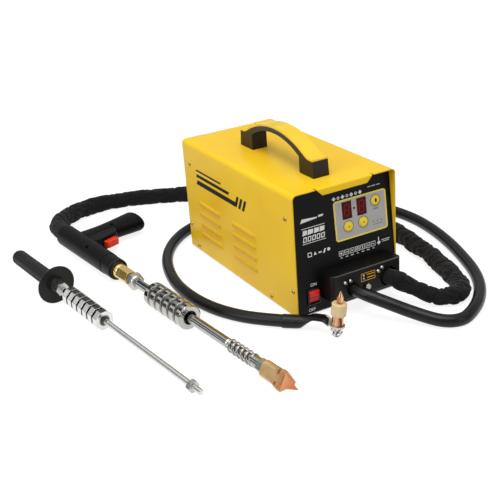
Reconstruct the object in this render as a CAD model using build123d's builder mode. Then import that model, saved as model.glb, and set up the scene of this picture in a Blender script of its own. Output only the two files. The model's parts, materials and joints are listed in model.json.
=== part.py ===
# Dent pulling welder: a sheet metal case with its transformer and controls, an earth cable with its
# contact electrode, a sleeved cable with the pulling gun, and a loose slide hammer.
# Millimetres. The origin is on the floor under the middle of the case, the front faces -Y and +Z is up.
import os
from math import atan2, cos, hypot, pi, radians, sin, sqrt, tan

from build123d import *

os.makedirs("parts", exist_ok=True)

# Fits
seat_gap = 0.3
hole_gap = 0.2
running_gap = 0.05

# Case sheets
case_length = 380.0
case_width = 197.0
cover_height = 211.0
foot_height = 5.0
sheet = 1.5
cover_bend = 8.0
tongue_width = 109.0
tongue_drop = 12.0
tongue_bend = 2.5
relief_width = 2.5
relief_depth = 8.0
pan_flange = 22.0
pan_bend = 3.0
panel_inset = 1.0
panel_clear_top = 3.0
panel_flange = 30.0
panel_foot = 20.0
lean_start = 70.0
lean_angle = 5.7

# Louvres in the side walls
louvre_length = 80.0
louvre_height = 10.0
louvre_depth = 3.0
louvre_skin = 1.0
louvre_slit = 2.2
louvre_columns = (97.5, -27.0)
louvre_count = 4
louvre_pitch = 20.4
louvre_middle = 74.5

# Vent slots in the rear panel
vent_columns = 2
vent_rows = 6
vent_length = 44.0
vent_height = 5.0
vent_bridge = 12.0
vent_pitch = 14.0

# Cover screws, by their distance from the case's end and their height
screw_radius = 2.0
screw_length = 7.0
screw_head_radius = 4.0
screw_head_height = 2.4
screw_slot = 1.2
front_screws = ((9.5, 50.5), (23.0, 172.0), (80.0, 14.5))
rear_screws = ((9.0, 50.5), (25.5, 175.0), (34.0, 14.5))

# Rubber feet
foot_radius = 10.0
foot_stem = 3.0
foot_inset_x = 23.0
foot_inset_y = 40.0

# Carrying handle
handle_x = -15.5
handle_y = -29.75
handle_length = 235.5
handle_width = 30.0
handle_foot = 43.0
handle_foot_height = 27.5
handle_foot_lean = 2.5
handle_rise = 56.0
handle_arch_radius = 186.0
handle_blend = 30.0
handle_spring = 28.0
handle_under = 48.0
strip_thickness = 3.0
handle_screw_radius = 3.0
handle_screw_depth = 16.0

# Control fascia
overlay_inset = 12.45
overlay_z = 148.3
overlay_width = 102.5
overlay_height = 67.6
overlay_corner = 5.0
overlay_thickness = 1.0
digit_width = 18.4
digit_height = 28.8
digit_z = 163.0
digit_offsets = (-26.3, 2.5)
digit_set_back = 0.4
button_radius = 7.2
button_proud = 2.2
button_travel = 1.2
button_flange = 1.5
button_lip = 1.2
button_stem = 3.0
button_offsets = {"minus_button": (-25.9, 135.9), "plus_button": (3.2, 136.3), "mode_button": (29.5, 166.5)}
board_gap = 8.5
board_thickness = 1.6
board_margin = 2.0
standoff_radius = 3.0
standoff_inset = 6.0

# Rocker switch
rocker_inset = 31.5
rocker_z = 36.0
rocker_width = 18.6
rocker_half = 10.4
rocker_ridge = 7.8
rocker_slope = 10.0
rocker_tilt = 10.0
rocker_back = 3.0
rocker_pivot_depth = 4.0
rocker_pin = 1.5
rocker_gap = 0.4
switch_wall = 0.9
switch_bezel = 1.6
switch_bezel_height = 2.5
switch_back_wall = 2.0

# Terminal housing
housing_left_inset = 47.5
housing_right_inset = 14.5
housing_low = 27.0
housing_high = 75.0
housing_depth = 31.0
housing_wall = 3.0
housing_end_round = 8.0
housing_round = 3.0
earth_hole_gap = 0.8
sleeve_hole_gap = 1.8
earth_screws = ((-14.6, 58.8), (-4.5, 59.6))
gun_screws = ((-20.8, 61.2), (-13.2, 65.8))
terminal_screw_radius = 1.5
terminal_screw_head = 3.2
terminal_screw_length = 9.0
bolt_offset = 27.3
bolt_z = 41.0
bolt_radius = 3.0
bolt_flats = 10.0
bolt_head = 4.5

# Terminal studs and busbars
earth_inset = 109.5
earth_z = 44.0
gun_inset = 38.5
gun_z = 46.6
stud_barrel = 9.0
stud_barrel_length = 6.0
stud_radius = 5.0
stud_inside = 14.0
stud_nut_flats = 17.0
stud_nut_height = 7.0
bar_width = 20.0
bar_thickness = 4.0
bar_foot = 10.0

# Transformer
core_y = 70.0
core_depth = 80.0
core_leg = 40.0
core_window = 20.0
core_window_height = 60.0
core_yoke = 20.0
coil_gap = 0.5
primary_height = 36.0
secondary_height = 22.0
lead_length = 16.0
bracket_thickness = 3.0
bracket_reach = 18.0
bracket_height = 60.0

# Thyristor on its heat sink
sink_inset = 32.5
sink_y = -40.0
sink_width = 42.0
sink_length = 80.0
sink_base = 6.0
sink_height = 36.0
sink_fins = 6
sink_fin = 2.0
thyristor_size = (32.0, 60.0, 22.0)

# Mains inlet gland
gland_inset = 38.5
gland_z = 40.0
gland_bore = 5.0
gland_body = 8.0
gland_flange = 13.0
gland_length = 18.0

# Earth cable and its electrode
earth_diameter = 21.0
shrink_wall = 1.0
shrink_length = 30.0
shrink_neck = 20.0
lug_width = 16.0
lug_thickness = 4.0
lug_ring = 12.0
lug_rise = 10.0
lug_knee = 10.0
lug_step = 6.0
lug_bend = 9.0
electrode_foot = (-78.0, -267.0, 0.3)
electrode_lean = (10.0, -2.5, 78.0)
cap_dome = 8.0
cap_hex = 10.0
cap_flats = 17.0
lug_seat = 3.0
neck_radius = 9.3
neck_length = 16.0
insulator_radius = 12.0
insulator_length = 21.0
pin_radius = 5.2
pin_length = 20.0
pin_point = 9.0
stud_thread = 5.0

# Sleeved gun cable
sleeve_diameter = 30.0

# Pulling gun, by stations forward from the barrel's rear face
gun_rear = (-293.6, 351.8)
gun_axis_z = 22.0
gun_heading = -84.71
barrel_radius = 21.0
barrel_front_radius = 20.3
barrel_length = 183.0
barrel_wall = 3.5
barrel_end_wall = 4.0
nose_radius = 19.5
nose_length = 37.0
nose_chamfer = 4.0
adapter_bore = 8.0
adapter_flange = 17.2
adapter_flange_length = 12.0
adapter_neck = 12.9
adapter_bead = 13.4
adapter_bead_length = 11.0
adapter_flats = 24.0
adapter_hex = 36.0
lock_nut_gap = 9.0
lock_nut_flats = 28.0
lock_nut_hex = 9.0
lock_nut_dome = 5.0
lock_nut_dome_radius = 10.5
rod_radius = 8.0
rod_front_radius = 6.8
rod_in_head = 22.0
weight_radius = 21.0
weight_length = 116.0
weight_start = 346.0
weight_grooves = 5
weight_groove_width = 8.0
weight_groove_depth = 4.0
weight_recess_radius = 12.0
weight_recess_depth = 6.0
spring_start = 575.5
spring_pitch = 11.3
spring_turns = 5
spring_mean_radius = 9.3
spring_wire = 3.2
collar_radius = 9.5
collar_length = 18.5
head_nut_flats = 20.0
head_nut_length = 13.0
head_flat = 11.0
head_body_radius = 14.0
head_body_length = 41.0
head_flare_radius = 17.6
head_flare_length = 8.0
head_tip_length = 26.0
head_tip_base = 16.4
head_tip_waist = 9.5
head_tip_shoulder = 6.0
head_slot = 6.0
head_slot_floor = 9.5
lead_radius = 5.0

# Gun grip, by distances along the grip from the barrel's axis
grip_station = 54.0
grip_lean = 9.0
grip_sections = ((10.0, 28.0, 17.4), (38.0, 24.2, 16.7), (66.0, 23.8, 16.6), (100.0, 26.5, 17.5), (143.0, 31.5, 18.5))
grip_end_round = 9.0
grip_wall = 3.0
web_outline = ((0.0, 10.0), (44.0, 10.0), (46.0, 24.0), (40.5, 62.0), (28.0, 74.0), (0.0, 76.0))
web_thickness = 26.0
web_round = 5.0
trigger_low = 29.0
trigger_high = 58.0
trigger_inner = 11.0
trigger_front = 57.5
trigger_front_far = 54.0
trigger_thickness = 13.0
trigger_round = 4.0
trigger_travel = 6.0
trigger_gap = 0.35
switch_front = 4.2
switch_rear = 8.0
switch_thickness = 23.0
shell_screw_spots = ((118.0, -11.0), (84.0, 13.0), (50.0, 76.0))
shell_screw_radius = 1.6
shell_screw_head = 3.4
shell_screw_seat = 8.0
shell_screw_reach = 8.0
shell_boss = 4.6

# Slide hammer, by stations forward from the grip's end
hammer_end = (-416.7, 267.2, 44.35)
hammer_heading = -81.1
hammer_pitch = 3.64
hammer_rod_radius = 5.0
hammer_rod_length = 571.0
hammer_rod_start = 30.0
hammer_grip_radius = 14.0
hammer_grip_length = 144.0
hammer_flute_radius = 3.0
hammer_flutes = 6
guard_radius = 34.5
guard_thickness = 3.0
guard_dish = 3.0
guard_hub_radius = 13.0
guard_hub = 6.0
rear_nut_flats = 21.0
rear_nut_length = 18.0
slider_start = 199.0
slider_radius = 16.7
slider_apothem = 15.6
slider_lands = 7
slider_land = 11.5
slider_groove = 4.8
slider_groove_depth = 5.0
end_nut_start = 545.0
end_nut_flats = 17.0
end_nut_length = 9.0
thread_radius = 4.75
thread_relief = 3.0
thread_relief_depth = 0.75

# Places worked out from the sizes
roof_z = foot_height + cover_height
floor_top = foot_height + sheet
side_x = case_width / 2
end_y = case_length / 2
pan_width = case_width - 2 * sheet - 2 * seat_gap
panel_y = -(end_y - panel_inset)
rear_y = end_y - sheet - seat_gap
panel_top = roof_z - sheet - panel_clear_top
lean_run = (panel_top - lean_start) * tan(radians(lean_angle))
flange_start = foot_height + pan_flange + panel_clear_top
screw_hole = screw_radius + hole_gap
cover_spots = [(d - end_y, z) for d, z in front_screws] + [(end_y - d, z) for d, z in rear_screws]
fascia_normal = (0, -cos(radians(lean_angle)), sin(radians(lean_angle)))
fascia = Plane(origin=(0, panel_y, lean_start), x_dir=(1, 0, 0), z_dir=fascia_normal)
apron = Plane(origin=(0, panel_y, 0), x_dir=(1, 0, 0), z_dir=(0, -1, 0))
button_hole = button_radius + seat_gap
overlay_x = side_x - overlay_inset - overlay_width / 2
digit_xs = [overlay_x + offset for offset in digit_offsets]
button_spots = {name: (overlay_x + offset, z) for name, (offset, z) in button_offsets.items()}
rocker_x = rocker_inset - side_x
housing_left = housing_left_inset - side_x
housing_right = side_x - housing_right_inset
earth_x = side_x - earth_inset
gun_x = side_x - gun_inset
terminal_screw_spots = [(earth_x + offset, z) for offset, z in earth_screws]
terminal_screw_spots += [(gun_x + offset, z) for offset, z in gun_screws]
bolt_x = earth_x + bolt_offset
core_x = (earth_x + gun_x) / 2
sink_x = sink_inset - side_x
gland_x = gland_inset - side_x
terminal_spots = ((earth_x, earth_z), (gun_x, gun_z))
housing_front = panel_y - housing_depth


def up(z):
    return (z - lean_start) / cos(radians(lean_angle))


def across(frame, station):
    return Plane(origin=frame.from_local_coords((station, 0, 0)), x_dir=frame.y_dir, z_dir=frame.x_dir)


def save(builder, name):
    builder.part.label = name
    export_step(builder.part, f"parts/{name}.step")


def turned(frame, *outline):
    with BuildPart() as piece:
        with BuildSketch(frame):
            with BuildLine():
                Polyline(*outline, close=True)
            make_face()
        revolve(axis=Axis(frame.origin, frame.x_dir))
    return piece


def hex_nut(frame, start, length, flats, bore):
    with BuildPart() as nut:
        with BuildSketch(across(frame, start)):
            RegularPolygon(flats / 2, 6, major_radius=False)
            Circle(bore, mode=Mode.SUBTRACT)
        extrude(amount=length)
        with BuildSketch(frame):
            with BuildLine():
                ease = flats * 0.06
                corner = flats / sqrt(3)
                Polyline(
                    (start, 0),
                    (start, corner - ease),
                    (start + ease / 2, corner + ease / 8),
                    (start + length - ease / 2, corner + ease / 8),
                    (start + length, corner - ease),
                    (start + length, 0),
                    close=True,
                )
            make_face()
        revolve(axis=Axis(frame.origin, frame.x_dir), mode=Mode.INTERSECT)
    return nut


def side_wall(side):
    return Plane(origin=(side * side_x, 0, 0), x_dir=(0, side, 0), z_dir=(side, 0, 0))


# Cover: one sheet folded over the roof, with a tongue at each end and pressed louvres
louvre_rows = [louvre_middle + louvre_pitch * (i - (louvre_count - 1) / 2) for i in range(louvre_count)]
handle_screw_ys = [handle_y + s * (handle_length - handle_foot) / 2 for s in (-1, 1)]
with BuildPart() as tongue:
    with BuildSketch(Plane.YZ):
        with BuildLine():
            FilletPolyline(
                (end_y - relief_depth, roof_z),
                (end_y, roof_z),
                (end_y, roof_z - tongue_drop),
                radius=tongue_bend,
            )
            offset(amount=sheet, side=Side.RIGHT)
        make_face()
    extrude(amount=(tongue_width - relief_width) / 2, both=True)
    with BuildSketch(Plane.XZ):
        with BuildLine():
            Polyline(
                (-tongue_width / 2, roof_z),
                (-tongue_width / 2 + tongue_drop, roof_z - tongue_drop),
                (tongue_width / 2 - tongue_drop, roof_z - tongue_drop),
                (tongue_width / 2, roof_z),
                close=True,
            )
        make_face()
    extrude(amount=case_length, both=True, mode=Mode.INTERSECT)

with BuildPart() as cover:
    with BuildSketch(Plane.XZ.offset(end_y)):
        with BuildLine():
            FilletPolyline(
                (-side_x, foot_height),
                (-side_x, roof_z),
                (side_x, roof_z),
                (side_x, foot_height),
                radius=cover_bend,
            )
            offset(amount=sheet, side=Side.RIGHT)
        make_face()
    extrude(amount=-case_length)
    with BuildSketch(Plane.XY.offset(roof_z - sheet)):
        with Locations((0, -end_y), (0, end_y)):
            Rectangle(tongue_width + relief_width, 2 * relief_depth)
    extrude(amount=sheet, mode=Mode.SUBTRACT)
    add(tongue.part)
    mirror(tongue.part, about=Plane.XZ)
    for side in (-1, 1):
        rows = [(side * y, z) for y in louvre_columns for z in louvre_rows]
        with BuildSketch(side_wall(side)):
            with Locations(*rows):
                Rectangle(louvre_length, louvre_height)
        extrude(amount=louvre_depth, taper=45)
        with BuildSketch(side_wall(side).offset(-sheet)):
            with Locations(*rows):
                Rectangle(louvre_length - 2 * louvre_skin, louvre_height - 2 * louvre_skin)
        extrude(amount=sheet + louvre_depth - louvre_skin, taper=30, mode=Mode.SUBTRACT)
        with BuildSketch(side_wall(side)):
            with Locations(*[(y, z - louvre_height / 2 + louvre_slit / 2) for y, z in rows]):
                Rectangle(louvre_length - 2 * louvre_depth, louvre_slit)
        extrude(amount=louvre_depth, mode=Mode.SUBTRACT)
        with BuildSketch(side_wall(side)):
            with Locations(*[(side * y, z) for y, z in cover_spots]):
                Circle(screw_hole)
        extrude(amount=-sheet, mode=Mode.SUBTRACT)
    with BuildSketch(Plane.XY.offset(roof_z - sheet)):
        with Locations(*[(handle_x, y) for y in handle_screw_ys]):
            Circle(handle_screw_radius + hole_gap)
    extrude(amount=sheet, mode=Mode.SUBTRACT)
save(cover, "cover_shell")

# Base pan: floor sheet with upturned sides
foot_xs = (-(side_x - foot_inset_x), side_x - foot_inset_x)
foot_ys = (-(end_y - foot_inset_y), end_y - foot_inset_y)
foot_spots = [(x, y) for x in foot_xs for y in foot_ys]
pan_half_length = end_y - panel_inset
with BuildPart() as base_pan:
    with BuildSketch(Plane.XZ.offset(pan_half_length)):
        with BuildLine():
            FilletPolyline(
                (-pan_width / 2, foot_height + pan_flange),
                (-pan_width / 2, foot_height),
                (pan_width / 2, foot_height),
                (pan_width / 2, foot_height + pan_flange),
                radius=pan_bend,
            )
            offset(amount=sheet, side=Side.LEFT)
        make_face()
    extrude(amount=-2 * pan_half_length)
    for end in (-1, 1):
        with BuildSketch(Plane.XZ.offset(-end * pan_half_length)):
            with Locations((0, floor_top)):
                Rectangle(pan_width, pan_flange, align=(Align.CENTER, Align.MIN))
        extrude(amount=end * 2 * sheet, mode=Mode.SUBTRACT)
    with BuildSketch(Plane.XY.offset(foot_height)):
        with Locations(*foot_spots):
            Circle(foot_stem + hole_gap)
    extrude(amount=sheet, mode=Mode.SUBTRACT)
    with BuildSketch(Plane.YZ):
        with Locations(*[spot for spot in cover_spots if spot[1] < flange_start]):
            Circle(screw_hole)
    extrude(amount=pan_width / 2, both=True, mode=Mode.SUBTRACT)
save(base_pan, "base_pan")

# Front panel: upright apron, then a fascia that leans back, with flanges for the cover screws
with BuildPart() as front_panel:
    with BuildSketch(Plane.YZ):
        with BuildLine():
            Polyline((panel_y, floor_top), (panel_y, lean_start), (panel_y + lean_run, panel_top))
            offset(amount=sheet, side=Side.RIGHT)
        make_face()
    extrude(amount=pan_width / 2, both=True)
    with BuildSketch(Plane.XY.offset(floor_top)):
        with Locations((0, panel_y)):
            Rectangle(pan_width - 2 * (pan_bend + sheet), panel_foot, align=(Align.CENTER, Align.MIN))
    extrude(amount=sheet)
    for side in (-1, 1):
        with BuildSketch(Plane.YZ.offset(side * pan_width / 2)):
            with BuildLine():
                Polyline(
                    (panel_y + sheet / 2, flange_start),
                    (panel_y + sheet / 2, lean_start),
                    (panel_y + lean_run + sheet / 2, panel_top),
                    (panel_y + lean_run + panel_flange, panel_top),
                    (panel_y + panel_flange, lean_start),
                    (panel_y + panel_flange, flange_start),
                    close=True,
                )
            make_face()
        extrude(amount=-side * sheet)
    with BuildSketch(Plane.YZ):
        with Locations(*[spot for spot in cover_spots if spot[0] < 0 and spot[1] > flange_start]):
            Circle(screw_hole)
    extrude(amount=pan_width / 2, both=True, mode=Mode.SUBTRACT)
    with BuildSketch(fascia):
        with Locations(*[(x, up(digit_z)) for x in digit_xs]):
            Rectangle(digit_width + 2 * seat_gap, digit_height + 2 * seat_gap)
        with Locations(*[(x, up(z)) for x, z in button_spots.values()]):
            Circle(button_hole)
    extrude(amount=-2 * sheet, mode=Mode.SUBTRACT)
    switch_body_width = rocker_width + 2 * rocker_gap + 2 * switch_wall
    rocker_reach = hypot(rocker_ridge - rocker_half * tan(radians(rocker_slope)), rocker_half)
    switch_body_height = 2 * (rocker_reach + rocker_gap + switch_wall)
    with BuildSketch(apron):
        with Locations((rocker_x, rocker_z)):
            Rectangle(switch_body_width + 2 * hole_gap, switch_body_height + 2 * hole_gap)
        with Locations(*terminal_spots):
            Circle(stud_radius + hole_gap)
        with Locations((bolt_x, bolt_z)):
            Circle(bolt_radius + hole_gap)
    extrude(amount=-sheet, mode=Mode.SUBTRACT)
    with BuildSketch(Plane.XZ):
        RectangleRounded(pan_width, 2 * panel_top, cover_bend)
    extrude(amount=case_length, both=True, mode=Mode.INTERSECT)
save(front_panel, "front_panel")

# Rear panel: flat sheet with vent slots and the inlet's hole
with BuildPart() as rear_panel:
    with BuildSketch(Plane.YZ):
        with Locations((rear_y - sheet, floor_top)):
            Rectangle(sheet, panel_top - floor_top, align=(Align.MIN, Align.MIN))
    extrude(amount=pan_width / 2, both=True)
    with BuildSketch(Plane.XY.offset(floor_top)):
        with Locations((0, rear_y)):
            Rectangle(pan_width - 2 * (pan_bend + sheet), panel_foot, align=(Align.CENTER, Align.MAX))
    extrude(amount=sheet)
    for side in (-1, 1):
        with BuildSketch(Plane.YZ.offset(side * pan_width / 2)):
            with Locations((rear_y - sheet / 2, flange_start)):
                Rectangle(panel_flange, panel_top - flange_start, align=(Align.MAX, Align.MIN))
        extrude(amount=-side * sheet)
    with BuildSketch(Plane.YZ):
        with Locations(*[spot for spot in cover_spots if spot[0] > 0 and spot[1] > flange_start]):
            Circle(screw_hole)
    extrude(amount=pan_width / 2, both=True, mode=Mode.SUBTRACT)
    with BuildSketch(Plane.XZ.offset(-rear_y)):
        with Locations((gland_x, gland_z)):
            Circle(gland_body + hole_gap)
        with Locations((0, (panel_top + lean_start) / 2)):
            with GridLocations(vent_length + vent_bridge, vent_pitch, vent_columns, vent_rows):
                SlotOverall(vent_length, vent_height)
    extrude(amount=sheet, mode=Mode.SUBTRACT)
    with BuildSketch(Plane.XZ):
        RectangleRounded(pan_width, 2 * panel_top, cover_bend)
    extrude(amount=case_length, both=True, mode=Mode.INTERSECT)
save(rear_panel, "rear_panel")

# Cover screws: pan heads with a cross recess
with BuildPart() as cover_screws:
    for side in (-1, 1):
        spots = [(side * y, z) for y, z in cover_spots]
        with BuildSketch(side_wall(side)):
            with Locations(*spots):
                Circle(screw_head_radius)
        extrude(amount=screw_head_height, taper=20)
        with BuildSketch(side_wall(side)):
            with Locations(*spots):
                Circle(screw_radius)
        extrude(amount=-screw_length)
        with BuildSketch(side_wall(side).offset(screw_head_height)):
            with Locations(*spots):
                Rectangle(screw_head_radius, screw_slot, rotation=20)
                Rectangle(screw_slot, screw_head_radius, rotation=20)
        extrude(amount=-screw_slot, mode=Mode.SUBTRACT)
save(cover_screws, "cover_screws")

# Rubber feet: low cones with a stem pushed through the pan
with BuildPart() as rubber_feet:
    with BuildSketch(Plane.XY.offset(foot_height)):
        with Locations(*foot_spots):
            Circle(foot_radius)
    extrude(amount=-foot_height, taper=12)
    with BuildSketch(Plane.XY.offset(foot_height)):
        with Locations(*foot_spots):
            Circle(foot_stem)
    extrude(amount=sheet + foot_stem / 2)
save(rubber_feet, "rubber_feet")

# Handle: a moulded arch between two square feet, under a full width coloured strip
crown_z = roof_z + handle_rise
crown_centre = crown_z - handle_arch_radius
foot_top = roof_z + handle_foot_height
blend_rise = foot_top + handle_blend - crown_centre
blend_run = sqrt((handle_arch_radius + handle_blend) ** 2 - blend_rise**2)
meet = handle_arch_radius / (handle_arch_radius + handle_blend)
half = handle_length / 2
shoulder = half - handle_foot_lean
with BuildLine() as crown:
    Line((handle_y - shoulder, foot_top), (handle_y - blend_run, foot_top))
    TangentArc(
        (handle_y - blend_run, foot_top),
        (handle_y - blend_run * meet, crown_centre + blend_rise * meet),
        tangent=(1, 0),
    )
    ThreePointArc(
        (handle_y - blend_run * meet, crown_centre + blend_rise * meet),
        (handle_y, crown_z),
        (handle_y + blend_run * meet, crown_centre + blend_rise * meet),
    )
    TangentArc(
        (handle_y + blend_run, foot_top),
        (handle_y + blend_run * meet, crown_centre + blend_rise * meet),
        tangent=(-1, 0),
    )
    Line((handle_y + blend_run, foot_top), (handle_y + shoulder, foot_top))

handle_inner = half - handle_foot
with BuildPart() as handle:
    with BuildSketch(Plane.YZ.offset(handle_x)):
        with BuildLine():
            add(crown.line)
            Polyline(
                (handle_y + shoulder, foot_top),
                (handle_y + half, roof_z),
                (handle_y + handle_inner, roof_z),
                (handle_y + handle_inner, roof_z + handle_spring),
            )
            ThreePointArc(
                (handle_y + handle_inner, roof_z + handle_spring),
                (handle_y, roof_z + handle_under),
                (handle_y - handle_inner, roof_z + handle_spring),
            )
            Polyline(
                (handle_y - handle_inner, roof_z + handle_spring),
                (handle_y - handle_inner, roof_z),
                (handle_y - half, roof_z),
                (handle_y - shoulder, foot_top),
            )
        make_face()
    extrude(amount=handle_width / 2, both=True)
    fillet(handle.edges().filter_by(Axis.Z), 2)
    with BuildSketch(Plane.XY.offset(roof_z)):
        with Locations(*[(handle_x, y) for y in handle_screw_ys]):
            Circle(handle_screw_radius)
    extrude(amount=handle_screw_depth, mode=Mode.SUBTRACT)
save(handle, "handle_arch")

with BuildPart() as strip:
    with BuildSketch(Plane.YZ.offset(handle_x)):
        with BuildLine():
            add(crown.line)
            offset(amount=strip_thickness, side=Side.LEFT)
        make_face()
    extrude(amount=handle_width / 2, both=True)
save(strip, "handle_strip")

with BuildPart() as handle_screws:
    for y in handle_screw_ys:
        with BuildSketch(Plane.XY.offset(roof_z - sheet)):
            with Locations((handle_x, y)):
                RegularPolygon(handle_screw_radius * 1.67, 6, major_radius=False)
        extrude(amount=-handle_screw_radius * 1.3)
        with BuildSketch(Plane.XY.offset(roof_z - sheet)):
            with Locations((handle_x, y)):
                Circle(handle_screw_radius - running_gap)
        extrude(amount=sheet + handle_screw_depth - 1)
save(handle_screws, "handle_screws")

# Control overlay with its display windows and button holes
with BuildPart() as overlay:
    with BuildSketch(fascia):
        with Locations((overlay_x, up(overlay_z))):
            RectangleRounded(overlay_width, overlay_height, overlay_corner)
        with Locations(*[(x, up(digit_z)) for x in digit_xs]):
            Rectangle(digit_width + 2 * seat_gap, digit_height + 2 * seat_gap, mode=Mode.SUBTRACT)
        with Locations(*[(x, up(z)) for x, z in button_spots.values()]):
            Circle(button_hole, mode=Mode.SUBTRACT)
    extrude(amount=overlay_thickness)
save(overlay, "control_overlay")

with BuildPart() as digits:
    with BuildSketch(fascia.offset(-sheet - board_gap)):
        with Locations(*[(x, up(digit_z)) for x in digit_xs]):
            Rectangle(digit_width, digit_height)
    extrude(amount=sheet + board_gap + overlay_thickness - digit_set_back)
save(digits, "digit_displays")

for button_name, (x, z) in button_spots.items():
    with BuildPart() as button:
        with BuildSketch(fascia.offset(-sheet - seat_gap)):
            with Locations((x, up(z))):
                Circle(button_radius)
        extrude(amount=sheet + seat_gap + overlay_thickness + button_proud)
        fillet(button.faces().sort_by(Axis(fascia.origin, fascia.z_dir))[-1].edges(), 0.8)
        with BuildSketch(fascia.offset(-sheet - seat_gap)):
            with Locations((x, up(z))):
                Circle(button_radius + button_lip)
        extrude(amount=-button_flange)
        with BuildSketch(fascia.offset(-sheet - seat_gap - button_flange)):
            with Locations((x, up(z))):
                Circle(button_stem)
        extrude(amount=-(board_gap - 2 * seat_gap - button_flange - button_travel))
    save(button, button_name)

# Display board on four standoffs behind the fascia
standoffs = [
    (overlay_x + sx * (overlay_width / 2 - standoff_inset), up(overlay_z) + sy * (overlay_height / 2 - standoff_inset))
    for sx in (-1, 1)
    for sy in (-1, 1)
]
with BuildPart() as board:
    with BuildSketch(fascia.offset(-sheet - board_gap)):
        with Locations((overlay_x, up(overlay_z))):
            Rectangle(overlay_width - 2 * board_margin, overlay_height - 2 * board_margin)
    extrude(amount=-board_thickness)
save(board, "panel_board")

with BuildPart() as spacers:
    with BuildSketch(fascia.offset(-sheet)):
        with Locations(*standoffs):
            Circle(standoff_radius)
    extrude(amount=-board_gap)
save(spacers, "board_standoffs")

# Rocker switch: a frame clipped into the apron and a rocker that pivots in it
pivot_y = panel_y + rocker_pivot_depth
rocker_sink = rocker_back * cos(radians(rocker_tilt)) + rocker_reach * sin(radians(rocker_tilt))
switch_depth = rocker_pivot_depth + rocker_sink + rocker_gap + switch_back_wall
with BuildPart() as switch_frame:
    with BuildSketch(apron):
        with Locations((rocker_x, rocker_z)):
            RectangleRounded(switch_body_width + 2 * switch_bezel, switch_body_height + 2 * switch_bezel, 2)
    extrude(amount=switch_bezel_height, taper=15)
    with BuildSketch(apron):
        with Locations((rocker_x, rocker_z)):
            Rectangle(switch_body_width, switch_body_height)
    extrude(amount=-switch_depth)
    with BuildSketch(apron.offset(switch_bezel_height)):
        with Locations((rocker_x, rocker_z)):
            Rectangle(rocker_width + 2 * rocker_gap, 2 * (rocker_reach + rocker_gap))
    extrude(amount=-(switch_bezel_height + switch_depth - switch_back_wall), mode=Mode.SUBTRACT)
    with BuildSketch(Plane.YZ.offset(rocker_x)):
        with Locations((pivot_y, rocker_z)):
            Circle(rocker_pin + running_gap)
    extrude(amount=switch_body_width / 2 - switch_wall / 4, both=True, mode=Mode.SUBTRACT)
save(switch_frame, "switch_frame")

tilt = radians(rocker_tilt)
rocker_side = Plane(
    origin=(rocker_x + rocker_width / 2, pivot_y, rocker_z),
    x_dir=(0, -cos(tilt), -sin(tilt)),
    z_dir=(-1, 0, 0),
)
rocker_lip = rocker_ridge - rocker_half * tan(radians(rocker_slope))
rocker_back_half = sqrt(rocker_reach**2 - rocker_back**2)
with BuildPart() as rocker:
    with BuildSketch(rocker_side):
        with BuildLine():
            Polyline((rocker_lip, rocker_half), (rocker_ridge, 0), (rocker_lip, -rocker_half))
            ThreePointArc((rocker_lip, -rocker_half), (0, -rocker_reach), (-rocker_back, -rocker_back_half))
            Line((-rocker_back, -rocker_back_half), (-rocker_back, rocker_back_half))
            ThreePointArc((-rocker_back, rocker_back_half), (0, rocker_reach), (rocker_lip, rocker_half))
        make_face()
    extrude(amount=rocker_width)
    with BuildSketch(Plane.YZ.offset(rocker_x)):
        with Locations((pivot_y, rocker_z)):
            Circle(rocker_pin)
    extrude(amount=rocker_width / 2 + rocker_gap + switch_wall / 2, both=True)
save(rocker, "switch_rocker")

# Terminal housing: a moulded box, open behind, with holes for both cables
housing_x = (housing_left + housing_right) / 2
housing_z = (housing_low + housing_high) / 2
housing_width = housing_right - housing_left
housing_height = housing_high - housing_low
with BuildPart() as housing:
    with BuildSketch(apron):
        with Locations((housing_x, housing_z)):
            Rectangle(housing_width, housing_height)
    extrude(amount=housing_depth)
    fillet(housing.edges().group_by(Axis.Y)[0].sort_by(Axis.X)[0], housing_end_round)
    fillet(housing.edges().group_by(Axis.Y)[0], housing_round)
    with BuildSketch(apron):
        with Locations((housing_x, housing_z)):
            Rectangle(housing_width - 2 * housing_wall, housing_height - 2 * housing_wall)
    extrude(amount=housing_depth - housing_wall, mode=Mode.SUBTRACT)
    with BuildSketch(apron.offset(housing_depth)):
        with Locations((earth_x, earth_z)):
            Circle(earth_diameter / 2 + earth_hole_gap)
        with Locations((gun_x, gun_z)):
            Circle(sleeve_diameter / 2 + sleeve_hole_gap)
        with Locations(*terminal_screw_spots):
            Circle(terminal_screw_radius + hole_gap)
        with Locations((bolt_x, bolt_z)):
            Circle(bolt_radius + hole_gap)
    extrude(amount=-housing_wall, mode=Mode.SUBTRACT)
save(housing, "terminal_housing")

with BuildPart() as terminal_screws:
    with BuildSketch(apron.offset(housing_depth)):
        with Locations(*terminal_screw_spots):
            Circle(terminal_screw_head)
    extrude(amount=terminal_screw_head * 0.7, taper=25)
    with BuildSketch(apron.offset(housing_depth)):
        with Locations(*terminal_screw_spots):
            Circle(terminal_screw_radius)
    extrude(amount=-terminal_screw_length)
save(terminal_screws, "terminal_screws")

with BuildPart() as housing_bolt:
    with BuildSketch(apron.offset(housing_depth)):
        with Locations((bolt_x, bolt_z)):
            RegularPolygon(bolt_flats / 2, 6, major_radius=False, rotation=15)
    extrude(amount=bolt_head)
    fillet(housing_bolt.faces().sort_by(Axis.Y)[0].edges(), 0.6)
    with BuildSketch(apron.offset(housing_depth)):
        with Locations((bolt_x, bolt_z)):
            Circle(bolt_radius)
    extrude(amount=-(housing_depth + sheet + bolt_radius))
save(housing_bolt, "housing_bolt")

# Terminal studs through the apron, with the busbars clamped behind by nuts
with BuildPart() as studs:
    with BuildSketch(apron):
        with Locations(*terminal_spots):
            Circle(stud_barrel)
    extrude(amount=stud_barrel_length)
    with BuildSketch(apron):
        with Locations(*terminal_spots):
            Circle(stud_radius)
    extrude(amount=-(sheet + stud_inside))
save(studs, "terminal_studs")

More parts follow.
